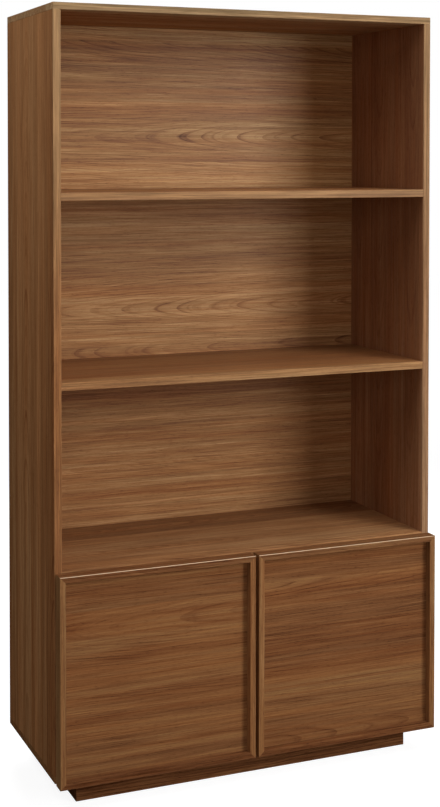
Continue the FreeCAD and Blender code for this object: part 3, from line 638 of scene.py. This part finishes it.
# %% Plastics
def moulded(name, shade, roughness):
    material, here = new_material(name, Specular_IOR_Level=0.40)
    texture = noise(here, (1500.0, 1500.0, 1500.0), 2.0, 0.6)
    cloud = noise(here, (70.0, 70.0, 70.0), 2.0)
    blend_partner = tuple(min(1.0, 1.35 * channel) for channel in shade[:3]) + (1.0,)
    paint(material, Base_Color=blended(cloud.between(-0.1, 0.4), shade, blend_partner),
          Roughness=texture * 0.25 + cloud * 0.15 + roughness, Normal=bumped(texture, 0.00004))
    return material


latch_plastic = moulded("dark_grey_plastic", colour(70, 68, 66), 0.42)
glide_plastic = moulded("black_plastic", colour(38, 36, 34), 0.50)
cap_plastic = moulded("brown_plastic", colour(104, 68, 42), 0.45)
print("plastics", latch_plastic.name, glide_plastic.name, cap_plastic.name)

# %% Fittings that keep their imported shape
kept_finishes = {
    "plinth_brace": pine, "plinth_blocks": pine, "wooden_dowels": beech, "cam_bolts": zinc,
    "left_hinge_pins": nickel, "right_hinge_pins": nickel,
}
for name, material in kept_finishes.items():
    finish_node(name, material)
print("kept shapes", sorted(kept_finishes))

# %% [markdown]
# ## Shaping tools
# The fittings are small, and most are round or folded from sheet. A round piece starts as a
# disc that is drawn out ring by ring, like turning it on a lathe. A profile could be spun
# instead, but it leaves a seam to merge and two ends to close. A folded piece starts as a box
# whose faces are pulled out, and a bevel then rounds every sharp edge, as pressing does.
# Sizes are written in millimetres.

# %% Round pieces
mm = 0.001
soft_angle = math.radians(35)


@contextmanager
def edit_mode():
    """Edit mode for the lines inside, and then object mode again."""
    bpy.ops.object.mode_set(mode="EDIT")
    yield
    bpy.ops.object.mode_set(mode="OBJECT")


def alone():
    """Leave nothing selected."""
    bpy.ops.object.select_all(action="DESELECT")


def only(piece):
    """Leave just this piece selected."""
    alone()
    piece.select_set(True)
    bpy.context.view_layer.objects.active = piece


def smooth(piece):
    only(piece)
    bpy.ops.object.shade_smooth_by_angle(angle=soft_angle)


def turned(name, outline, corners=32):
    """A round piece along +Z; outline lists the (radius, height) of its rings in millimetres."""
    alone()
    radius, height = outline[0]
    bpy.ops.mesh.primitive_circle_add(vertices=corners, radius=radius * mm, fill_type="NGON",
                                      location=(0.0, 0.0, height * mm))
    piece = bpy.context.object
    piece.name = name
    with edit_mode():
        bpy.ops.mesh.select_all(action="SELECT")
        for next_radius, next_height in outline[1:]:
            rise = (0.0, 0.0, (next_height - height) * mm)
            bpy.ops.mesh.extrude_region_move(TRANSFORM_OT_translate={"value": rise})
            change = next_radius / radius
            centre = (0.0, 0.0, next_height * mm)
            bpy.ops.transform.resize(value=(change, change, 1.0), center_override=centre)
            radius, height = next_radius, next_height
        bpy.ops.mesh.select_all(action="SELECT")
        bpy.ops.mesh.normals_make_consistent(inside=False)
    bpy.ops.object.transform_apply(location=True, rotation=True, scale=True)
    smooth(piece)
    return piece


print("turning tool ready, corners up to", round(math.degrees(soft_angle)), "degrees are smooth")

# %% Box-shaped pieces
facing = 0.9                # a face looks along an axis when its normal reaches this share


def bar(name, low, high):
    """A box between two corners in millimetres, ready for shaping."""
    alone()
    centre = [(a + b) / 2 * mm for a, b in zip(low, high)]
    size = [abs(b - a) * mm for a, b in zip(low, high)]
    bpy.ops.mesh.primitive_cube_add(size=1.0, location=centre, scale=size)
    piece = bpy.context.object
    piece.name = name
    bpy.ops.object.transform_apply(location=True, rotation=True, scale=True)
    return piece


def choose_faces(piece, wanted):
    """In edit mode, select the faces whose centre (in millimetres) and normal are wanted."""
    bpy.ops.mesh.select_mode(type="FACE")
    bpy.ops.mesh.select_all(action="DESELECT")
    mesh = bmesh.from_edit_mesh(piece.data)
    for face in mesh.faces:
        face.select_set(wanted(face.calc_center_median() / mm, face.normal))
    bmesh.update_edit_mesh(piece.data)


def pull(piece, wanted, *moves):
    """Extrude the wanted faces by each move in turn, in millimetres."""
    with edit_mode():
        choose_faces(piece, wanted)
        for move in moves:
            value = [length * mm for length in move]
            bpy.ops.mesh.extrude_region_move(TRANSFORM_OT_translate={"value": value})


def sliced(piece, axis, *levels):
    """Cut new edges around the piece at levels along an axis, in millimetres."""
    with edit_mode():
        for level in levels:
            bpy.ops.mesh.select_all(action="SELECT")
            point = [level * mm if i == axis else 0.0 for i in range(3)]
            normal = [1.0 if i == axis else 0.0 for i in range(3)]
            bpy.ops.mesh.bisect(plane_co=point, plane_no=normal)


def round_corners(piece, axis, width, steps=5):
    """Round the edges that run along an axis."""
    with edit_mode():
        bpy.ops.mesh.select_mode(type="EDGE")
        bpy.ops.mesh.select_all(action="DESELECT")
        mesh = bmesh.from_edit_mesh(piece.data)
        for edge in mesh.edges:
            run = edge.verts[1].co - edge.verts[0].co
            edge.select_set(abs(run[axis]) > 0.999 * run.length)
        bmesh.update_edit_mesh(piece.data)
        bpy.ops.mesh.bevel(offset=width * mm, segments=steps, affect="EDGES")


def eased(piece, width, steps=2):
    """Round every sharp edge a little."""
    only(piece)
    bpy.ops.object.modifier_add(type="BEVEL")
    bevel = piece.modifiers[-1]
    bevel.width = width * mm
    bevel.segments = steps
    bevel.limit_method = "ANGLE"
    bevel.angle_limit = soft_angle
    bpy.ops.object.modifier_apply(modifier=bevel.name)
    smooth(piece)
    return piece


print("box tools ready")

# %% Cutting, joining and placing
def carved(piece, cutter, operation="DIFFERENCE"):
    """Take the cutter's shape out of the piece, or add it; the cutter goes."""
    only(piece)
    bpy.ops.object.modifier_add(type="BOOLEAN")
    boolean = piece.modifiers[-1]
    boolean.object = cutter
    boolean.operation = operation
    boolean.solver = "EXACT"
    bpy.ops.object.modifier_apply(modifier=boolean.name)
    bpy.data.objects.remove(cutter)
    return piece


def one_piece(pieces):
    """Join pieces into the first of them."""
    alone()
    for piece in pieces:
        piece.select_set(True)
    bpy.context.view_layer.objects.active = pieces[0]
    if len(pieces) > 1:
        bpy.ops.object.join()
    return pieces[0]


def outward(piece):
    """Merge doubled corners and turn every face outwards."""
    only(piece)
    with edit_mode():
        bpy.ops.mesh.select_all(action="SELECT")
        bpy.ops.mesh.remove_doubles(threshold=0.002 * mm)
        bpy.ops.mesh.normals_make_consistent(inside=False)
    smooth(piece)
    return piece


def aimed(spot, direction=(0, 0, 1)):
    """The move that takes a piece made along +Z to a spot in millimetres, facing a direction."""
    turn = Vector(direction).to_track_quat("Z", "Y").to_matrix().to_4x4()
    return Matrix.Translation(Vector(spot) * mm) @ turn


def fitted(model, name, moves, material, body, node):
    """Copies of the model, each with its own mesh, one for each move, joined into one finished
    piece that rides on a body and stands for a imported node."""
    copies = []
    for move in moves:
        twin = model.copy()
        twin.data = model.data.copy()
        twin.data.transform(move)
        bpy.context.scene.collection.objects.link(twin)
        copies.append(twin)
    piece = outward(one_piece(copies))
    piece.name = name
    piece.data.materials.clear()
    piece.data.materials.append(material)
    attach(piece, body)
    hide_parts(node)
    print(piece.name, "rides on", body, "with", len(piece.data.polygons), "faces")


def used_up(*models):
    """Take away models whose copies are all in place."""
    for model in models:
        bpy.data.objects.remove(model)


print("fitting tools ready")

# %% [markdown]
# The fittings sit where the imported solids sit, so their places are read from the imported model.
# The left half is worked out, and its mirror image gives the right half.

# %% Places on the case
mirror = Matrix.Diagonal((-1.0, 1.0, 1.0, 1.0))
both_hands = {"left": Matrix.Identity(4), "right": mirror}


def mirrored(moves):
    """The moves, and those that put the same pieces on the right."""
    return moves + [mirror @ move for move in moves]


def ends(name, axis, reach=0.0):
    """Where a packed set starts and ends along an axis, in millimetres, less the reach of its
    outer pieces. Round solids are packed with flat facets, so only tenths count."""
    low, high = (corner[axis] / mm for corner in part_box(name))
    return round(low + reach, 1), round(high - reach, 1)


fixed_shelves = ("cabinet_top", "middle_shelf", "upper_shelf")
undersides = [ends(name, Z)[0] for name in fixed_shelves]
shelf_middles = [sum(ends(name, Z)) / 2 for name in fixed_shelves]
case_front = ends("left_side", Y)[0]
inner_face = ends("left_side", X)[1]
door_back = ends("left_door_panel", Y)[1]
back_rear = ends("lower_back_panel", Y)[1]
latch_columns = {hand: sum(ends(f"{hand}_latch_plunger", X)) / 2 for hand in both_hands}
latch_axis = sum(ends("left_latch_plunger", Z)) / 2
ear_length = 31.0           # cup's centre to the end of its ears
hinge_heights = ends("left_hinge_cups", Z, ear_length)
sheet = 2.0                 # steel of the mounting plates and arms
spine_height = 3.0
plate_face = inner_face + sheet
spine_face = plate_face + spine_height
arm_face = spine_face + sheet
flange_top = 1.2            # from the door's back to the top of a cup's flange
print("hinges at", hinge_heights, "latches at", latch_columns, latch_axis)

# %% [markdown]
# ## Screws
# Every screw is turned as one piece: a point, a thread, a neck, and a domed or countersunk
# head. A real thread winds round the shank; here it is a stack of rings, which looks much the
# same and keeps the mesh small. The driver's cross is carved from the head by two tapered
# wedges.

# %% Screw parts
thread_pitch = 1.3
thread_cut = 0.82           # bottom of the thread, in shank radii
recess_reach = 0.58         # length of each arm of the cross, in head radii
recess_width = 0.30


def thread(radius, length, neck):
    """The rings of a pointed thread whose point is length below 0."""
    rings = [(0.15 * radius, -length), (0.75 * radius, 1.6 * radius - length)]
    height = 2.0 * radius - length
    while height + thread_pitch < -neck:
        rings += [(radius, height), (thread_cut * radius, height + thread_pitch / 2)]
        height += thread_pitch
    return rings + [(0.9 * radius, -neck), (0.9 * radius, 0.0)]


def crossed(piece, head_radius, face, depth):
    """Carve a driver's cross into a face that points along +Z."""
    reach, half_width = recess_reach * head_radius, recess_width * head_radius / 2
    for half_x, half_y in ((reach, half_width), (half_width, reach)):
        wedge = bar("wedge", (-half_x, -half_y, face - depth), (half_x, half_y, face + depth))
        with edit_mode():
            choose_faces(wedge, lambda centre, normal: normal.z < -facing)
            bpy.ops.transform.resize(value=(0.55, 0.55, 1.0))
        carved(piece, wedge)
    return piece


def pan_screw(head_radius, head_height, radius, length, recess):
    """A screw with a domed head that stands on z = 0."""
    head = [(0.93, 0.0), (1.0, 0.12), (1.0, 0.35), (0.95, 0.62), (0.82, 0.84), (0.62, 0.96), (0.40, 1.0)]
    outline = thread(radius, length, 0.12 * length)
    outline += [(share * head_radius, height * head_height) for share, height in head]
    return crossed(turned("screw", outline, 24), head_radius, head_height, recess)


print("thread rings", len(thread(2.5, 11.0, 1.3)))

# %% Hinge and latch screws
large_head = 4.5
small_head = 3.3
plate_row = ends("plate_screws", Y, large_head)[0]
cup_column = ends("left_cup_screws", X, small_head)[0]
latch_row = ends("latch_screws", Y, small_head)[0]
latch_ear = 2.5             # thickness of the latch's ears
from_plate = 16.0           # from the middle of each fitting to its screws
from_cup = 24.0
from_latch = 13.0
screw = pan_screw(large_head, head_height=1.8, radius=2.5, length=11.0, recess=1.0)
spots = [aimed((plate_face, plate_row, height + side), (1, 0, 0))
         for height in hinge_heights for side in (-from_plate, from_plate)]
fitted(screw, "plate_screw_set", mirrored(spots), zinc, "case", "plate_screws")
used_up(screw)

screw = pan_screw(large_head, head_height=1.8, radius=2.5, length=5.0, recess=1.0)
arm_row = ends("arm_screws", Y, large_head)[0]
spots = [aimed((arm_face, arm_row, height), (1, 0, 0)) for height in hinge_heights]
fitted(screw, "arm_screw_set", mirrored(spots), zinc, "case", "arm_screws")
used_up(screw)

screw = pan_screw(small_head, head_height=1.3, radius=1.6, length=11.0, recess=0.8)
spots = [aimed((cup_column, door_back + flange_top, height + side), (0, 1, 0))
         for height in hinge_heights for side in (-from_cup, from_cup)]
for hand, move in both_hands.items():
    moves = [move @ spot for spot in spots]
    fitted(screw, f"{hand}_cup_screw_set", moves, zinc, f"{hand}_door", f"{hand}_cup_screws")
spots = [aimed((column + side, latch_row, undersides[0] - latch_ear), (0, 0, -1))
         for column in latch_columns.values() for side in (-from_latch, from_latch)]
fitted(screw, "latch_screw_set", spots, zinc, "case", "latch_screws")
outer_column = ends("back_panel_screws", X, small_head)[0]
back_columns = [outer_column * share for share in (1.0, 0.5, 0.0, -0.5, -1.0)]
spots = [aimed((x, back_rear, z), (0, 1, 0)) for z in shelf_middles for x in back_columns]
fitted(screw, "back_screw_set", spots, zinc, "case", "back_panel_screws")
used_up(screw)

recess_floor = 0.6          # of the strike plate, from the door's back
screw = pan_screw(small_head, head_height=0.6, radius=1.6, length=10.8, recess=0.5)
for hand, column in latch_columns.items():
    spots = [aimed((column, door_back + recess_floor, latch_axis), (0, 1, 0))]
    fitted(screw, f"{hand}_strike_screw_head", spots, zinc, f"{hand}_door", f"{hand}_strike_screw")
used_up(screw)

# %% Case and plinth screws
case_head = 5.0
case_columns = ends("top_screws", X, case_head)
front_row, rear_row = ends("top_screws", Y, case_head)
case_spots = [(x, y) for x in case_columns for y in (front_row, (front_row + rear_row) / 2, rear_row)]
cap_seat = ends("screw_caps", Z)[0]
case_floor, case_bottom = ends("bottom_panel", Z)[::-1]
# A countersunk head takes the place of the last ring of the neck.
case_outline = thread(radius=3.5, length=50.0, neck=22.0)[:-1]
case_outline += [(3.2, -4.0), (4.7, -4.0), (case_head, -3.6), (case_head, -0.5), (4.6, 0.0)]
screw = crossed(turned("screw", case_outline, 24), case_head, face=0.0, depth=2.2)
fitted(screw, "top_screw_set", [aimed((x, y, cap_seat)) for x, y in case_spots], zinc, "case", "top_screws")
spots = [aimed((x, y, case_bottom), (0, 0, -1)) for x, y in case_spots]
fitted(screw, "bottom_screw_set", spots, zinc, "case", "bottom_screws")
used_up(screw)

glide_radius = 11.0
plinth_head = 4.2
left_foot, right_foot = ends("plinth_glides", X, glide_radius)
foot_spots = [(x, y) for x in (left_foot, 0.0, right_foot) for y in ends("plinth_glides", Y, glide_radius)]
plinth_outline = thread(radius=2.2, length=45.0, neck=20.0)[:-1]
plinth_outline += [(2.1, -3.0), (4.0, -0.25), (plinth_head, -0.1), (4.0, 0.0)]
screw = crossed(turned("screw", plinth_outline, 24), plinth_head, face=0.0, depth=1.6)
spots = [aimed((x, y, case_floor)) for x, y in foot_spots]
fitted(screw, "plinth_screw_set", spots, zinc, "case", "plinth_screws")
used_up(screw)

# %% [markdown]
# ## Caps, glides and cams
# A cap hides each screw in the top. It is a thin disc with a rounded rim. A glide is a slightly
# dished disc on a nail, so it slides over the floor. A cam is a drum with a cross for the
# driver in its outer face, and an opening in its side where the bolt's head enters. All three
# are turned, and the opening is carved, because its mouth has to follow the drum's round wall.

# %% Caps and glides
cap_outline = [(5.4, 0.0), (5.7, 0.1), (5.9, 0.7), (5.75, 0.95), (5.3, 1.1), (4.0, 1.17), (1.0, 1.2)]
cap = turned("cap", cap_outline, 48)
spots = [aimed((x, y, cap_seat)) for x, y in case_spots]
fitted(cap, "screw_cap_set", spots, cap_plastic, "case", "screw_caps")

glide_outline = [(3.0, 0.5), (5.5, 0.35), (7.0, 0.0), (9.6, 0.0), (10.5, 0.3), (glide_radius, 0.9),
                 (glide_radius, 1.5), (10.6, 2.0), (3.0, 2.0), (3.0, 13.0), (0.5, 16.0)]
glide = turned("glide", glide_outline, 40)
spots = [aimed((x, y, 0.0)) for x, y in foot_spots]
fitted(glide, "glide_set", spots, glide_plastic, "case", "plinth_glides")
used_up(cap, glide)

# %% Cams
cam_radius = 7.5
cam_height = 13.5
cam_bore = 3.9              # radius of the opening for the bolt's head
bolt_height = 9.0           # from the cam's outer face to the middle of the bolt
cam_cross = 9.0             # its cross is as wide as on a screw head of this radius
cam_outline = [(6.9, -cam_height), (cam_radius, 0.5 - cam_height), (cam_radius, -0.6), (7.1, -0.2),
               (6.6, 0.0)]
cam = turned("cam", cam_outline, 48)
bore = turned("bore", [(cam_bore, 0.0), (cam_bore, 9.0), (cam_bore * 0.8, 11.0), (1.0, 12.0)], 24)
bore.data.transform(aimed((-9.0, 0.0, -bolt_height), (1, 0, 0)))
cam = crossed(carved(cam, bore), cam_cross, face=0.0, depth=3.0)
face_down = Matrix.Rotation(math.pi, 4, "X")
cam_column = ends("cam_locks", X, cam_radius)[0]
spots = [Matrix.Translation(Vector((cam_column, y, z)) * mm) @ face_down
         for z in undersides for y in ends("cam_locks", Y, cam_radius)]
fitted(cam, "cam_lock_set", mirrored(spots), cast_zinc, "case", "cam_locks")
used_up(cam)

# %% [markdown]
# ## Hinge arms
# The arm of a concealed hinge is folded from sheet steel. It is a shallow channel that grips
# the mounting plate, and in front it narrows to a nose that reaches into the cup and curls
# round the hinge pin. The box is cut into strips first, so that the lips can be pulled from
# its outer strips and the nose from its middle ones. Each arm also has a small screw that
# moves the door sideways.

# %% Hinge arms
arm_start = case_front + 2.0
arm_end = ends("hinge_plates", Y)[1]
half_arm = 6.5
lip = 1.2                   # thickness of the lips that grip the plate
lip_depth = 2.7
half_nose = 4.0
nose_reach = 13.5           # in front of the channel
curl = 2.0                  # thickness of the nose where it turns down to the pin
curl_depth = 11.5
to_side_screw = 18.0        # from the arm's front to its small screw
side_head = 2.5
eye_middle = [sum(ends("left_hinge_pins", axis)) / 2 for axis in (X, Y)]
arm = bar("arm", (spine_face, arm_start, -half_arm), (arm_face, arm_end, half_arm))
sliced(arm, Z, lip - half_arm, -half_nose, half_nose, half_arm - lip)
pull(arm, lambda centre, normal: normal.x < -facing and abs(centre.z) > half_arm - lip,
     (-lip_depth, 0.0, 0.0))
pull(arm, lambda centre, normal: normal.y < -facing and abs(centre.z) < half_nose,
     (0.0, -nose_reach, 0.0), (0.0, -curl, 0.0))
pull(arm, lambda centre, normal: normal.x < -facing and centre.y < arm_start - nose_reach,
     (-curl_depth, 0.0, 0.0))
eased(arm, 0.45, 3)
eye = turned("eye", [(1.6, -4.0), (1.9, -3.7), (1.9, 3.7), (1.6, 4.0)], 24)
carved(eye, turned("pin_hole", [(0.95, -5.0), (0.95, 5.0)], 16))
eye.data.transform(Matrix.Translation(Vector((*eye_middle, 0.0)) * mm))
side_outline = [(2.3, 0.0), (side_head, 0.2), (side_head, 0.8), (2.2, 1.1), (1.0, 1.15)]
side_screw = crossed(turned("side_screw", side_outline, 24), side_head, face=1.15, depth=0.7)
side_screw.data.transform(aimed((arm_face, arm_start + to_side_screw, 0.0), (1, 0, 0)))
arm = one_piece([arm, eye, side_screw])
hinge_moves = [Matrix.Translation((0.0, 0.0, height * mm)) for height in hinge_heights]
fitted(arm, "hinge_arm_set", mirrored(hinge_moves), nickel, "case", "hinge_arms")

# %% [markdown]
# The mounting plate is a cross of two wings, which take its screws, and a stem, with a raised
# spine that the arm grips. It could be cut from one block, but three bars that run into each
# other give every edge its own soft bevel, and the arm covers the places where they meet.

# %% Mounting plates
half_wing = 7.5
half_span = 26.0            # over both wings
half_spine = 5.0
plate_start = ends("hinge_plates", Y)[0]
wings = bar("wings", (inner_face, plate_row - half_wing, -half_span),
            (plate_face, plate_row + half_wing, half_span))
round_corners(wings, X, 5.0)
eased(wings, 0.4)
stem = eased(bar("stem", (inner_face, plate_start, -half_arm), (plate_face, arm_end, half_arm)), 0.4)
spine = bar("spine", (plate_face - 0.5, plate_start, -half_spine), (spine_face, arm_end, half_spine))
plate = one_piece([wings, stem, eased(spine, 0.6)])
fitted(plate, "hinge_plate_set", mirrored(hinge_moves), nickel, "case", "hinge_plates")
used_up(arm, plate)

# %% [markdown]
# ## Hinge cups
# The cup is drawn from sheet, so its floor meets its wall in a soft curve. Its flange is a
# disc with two ears for the screws. Where the disc would come close to the door's edge it is
# cut straight. The cup is turned as a shell: the outline goes up the outside, over the rim, and
# down the inside, so the wall and its round rim come in one step, with nothing to hollow out.

# %% Hinge cups
cup_radius = 17.5
flange_radius = 19.5
mouth_radius = 17.0
half_ear = 7.5
flange_margin = 3.5         # wood left between the door's edge and the straight cut
flange_edge = ends("left_door_hinge_stile", X)[0] + flange_margin
cup_place = aimed((ends("left_hinge_cups", X, cup_radius)[0], door_back, 0.0), (0, 1, 0))
flange_disc = turned("flange_disc", [(flange_radius, 0.0), (flange_radius, flange_top)], 64)
flange_disc.data.transform(cup_place)
ears = bar("ears", (cup_column - half_ear, door_back, -ear_length),
           (cup_column + half_ear, door_back + flange_top, ear_length))
round_corners(ears, Y, 4.0)
mouth = turned("mouth", [(mouth_radius, -2.0), (mouth_radius, 4.0)], 64)
mouth.data.transform(cup_place)
flange = carved(carved(flange_disc, ears, "UNION"), mouth)
only(flange)
with edit_mode():
    bpy.ops.mesh.select_all(action="SELECT")
    bpy.ops.mesh.bisect(plane_co=(flange_edge * mm, 0.0, 0.0), plane_no=(1.0, 0.0, 0.0),
                        use_fill=True, clear_inner=True)
eased(flange, 0.3)
shell_outline = [(1.0, -12.5), (15.4, -12.5), (16.8, -12.1), (cup_radius, -11.2), (cup_radius, 0.2),
                 (17.2, 1.0), (16.9, 1.15), (16.6, 1.0), (16.5, 0.6), (16.5, -10.8), (16.0, -11.5),
                 (15.0, -11.8), (1.0, -11.8)]
shell = turned("cup_shell", shell_outline, 64)
shell.data.transform(cup_place)
cup = one_piece([flange, shell])
for hand, move in both_hands.items():
    moves = [move @ lift for lift in hinge_moves]
    fitted(cup, f"{hand}_hinge_cup_pair", moves, nickel, f"{hand}_door", f"{hand}_hinge_cups")
used_up(cup)

# %% [markdown]
# ## Push latches
# Each latch is a moulded box under the cabinet's top, with two ears for its screws. A plunger
# slides in it and carries a magnet, which holds a steel disc on the door. The housing's mouth
# is stepped, and shallow panels are sunk into its sides, as moulded parts have to keep their
# walls even. An inset makes the panels from the box's own faces, and a turned cutter makes the
# mouth, so that no separate trim has to meet the box.

# %% Latch housings
half_latch = 8.0
ear_reach = 18.0            # from the latch's middle to the ends of its ears
half_ear_plate = 17.0       # along the latch
latch_start, latch_end = ends("latch_housings", Y)
latch_low, latch_high = ends("latch_housings", Z)
housing = bar("housing", (-half_latch, latch_start, latch_low), (half_latch, latch_end, latch_high))
round_corners(housing, Y, 2.0, 4)
with edit_mode():
    choose_faces(housing, lambda centre, normal: abs(normal.x) > facing or normal.z < -facing)
    bpy.ops.mesh.inset(thickness=2.2 * mm, depth=-0.5 * mm, use_individual=True)
bore = turned("bore", [(5.6, -1.0), (5.6, 1.2), (4.55, 1.2), (4.55, 52.0)], 32)
bore.data.transform(aimed((0.0, latch_start, latch_axis), (0, 1, 0)))
carved(housing, bore)
ear_plate = bar("ear_plate", (-ear_reach, latch_row - half_ear_plate, latch_high - latch_ear),
                (ear_reach, latch_row + half_ear_plate, latch_high))
round_corners(ear_plate, Z, 4.0)
housing = one_piece([eased(housing, 0.25), eased(ear_plate, 0.4)])
latch_moves = [Matrix.Translation((column * mm, 0.0, 0.0)) for column in latch_columns.values()]
fitted(housing, "latch_housing_pair", latch_moves, latch_plastic, "case", "latch_housings")
used_up(housing)

# %% Plungers, magnets and strike plates
plunger_start = ends("left_latch_plunger", Y)[0]
plunger_outline = [(3.6, 0.0), (4.4, 0.1), (4.5, 0.4), (4.5, 2.6), (4.2, 3.0), (4.2, 4.0), (4.5, 4.4),
                   (4.5, 45.0), (3.6, 46.0)]
plunger = turned("plunger", plunger_outline, 40)
magnet_outline = [(4.0, 0.0), (4.5, 0.0), (4.5, 2.5), (4.3, 2.85), (3.9, 3.0), (1.0, 3.0)]
magnet = turned("magnet", magnet_outline, 40)
strike_outline = [(8.6, 0.0), (9.0, 0.2), (9.0, 0.8), (8.7, 1.1), (8.2, 1.2), (3.9, 1.2), (3.3, 0.9),
                  (3.3, recess_floor), (1.7, recess_floor), (1.7, 0.3), (0.5, 0.3)]
strike = turned("strike", strike_outline, 48)
for hand, column in latch_columns.items():
    backward = aimed((column, plunger_start, latch_axis), (0, 1, 0))
    forward = aimed((column, plunger_start, latch_axis), (0, -1, 0))
    on_door = aimed((column, door_back, latch_axis), (0, 1, 0))
    slider, door = f"{hand}_plunger", f"{hand}_door"
    fitted(plunger, f"{hand}_plunger_rod", [backward], latch_plastic, slider, f"{hand}_latch_plunger")
    fitted(magnet, f"{hand}_magnet_tip", [forward], bright_nickel, slider, f"{hand}_latch_magnet")
    fitted(strike, f"{hand}_strike_disc", [on_door], strike_steel, door, f"{hand}_strike_plate")
used_up(plunger, magnet, strike)

# %% [markdown]
# ## Shelf pins
# The loose shelf lies on four pins. Each has a round peg in the side, a thin collar against
# the wood, and a flat-topped pad that narrows a little towards its end. The pad is a box with
# its end face drawn in, and the peg is turned: each way makes only one of the two shapes.

# %% Shelf pins
half_pad = 4.0
pad_length = 9.0
pad_end = inner_face + pad_length
pad_low, pad_top = ends("shelf_pins", Z)
pad = bar("pad", (inner_face, -half_pad, pad_low), (pad_end, half_pad, pad_top))
with edit_mode():
    choose_faces(pad, lambda centre, normal: normal.x > facing)
    bpy.ops.transform.resize(value=(1.0, 0.86, 0.70), center_override=(pad_end * mm, 0.0, pad_top * mm))
eased(pad, 0.6, 3)
peg = turned("peg", [(1.9, 0.0), (2.5, 0.7), (2.5, 9.0), (2.9, 9.0), (2.9, 9.6), (2.5, 9.8)], 24)
peg.data.transform(aimed((ends("shelf_pins", X)[0], 0.0, (pad_low + pad_top) / 2), (1, 0, 0)))
pin = one_piece([pad, peg])
pin_moves = [Matrix.Translation((0.0, y * mm, 0.0)) for y in ends("shelf_pins", Y, half_pad)]
fitted(pin, "shelf_pin_set", mirrored(pin_moves), nickel, "case", "shelf_pins")
used_up(pin)
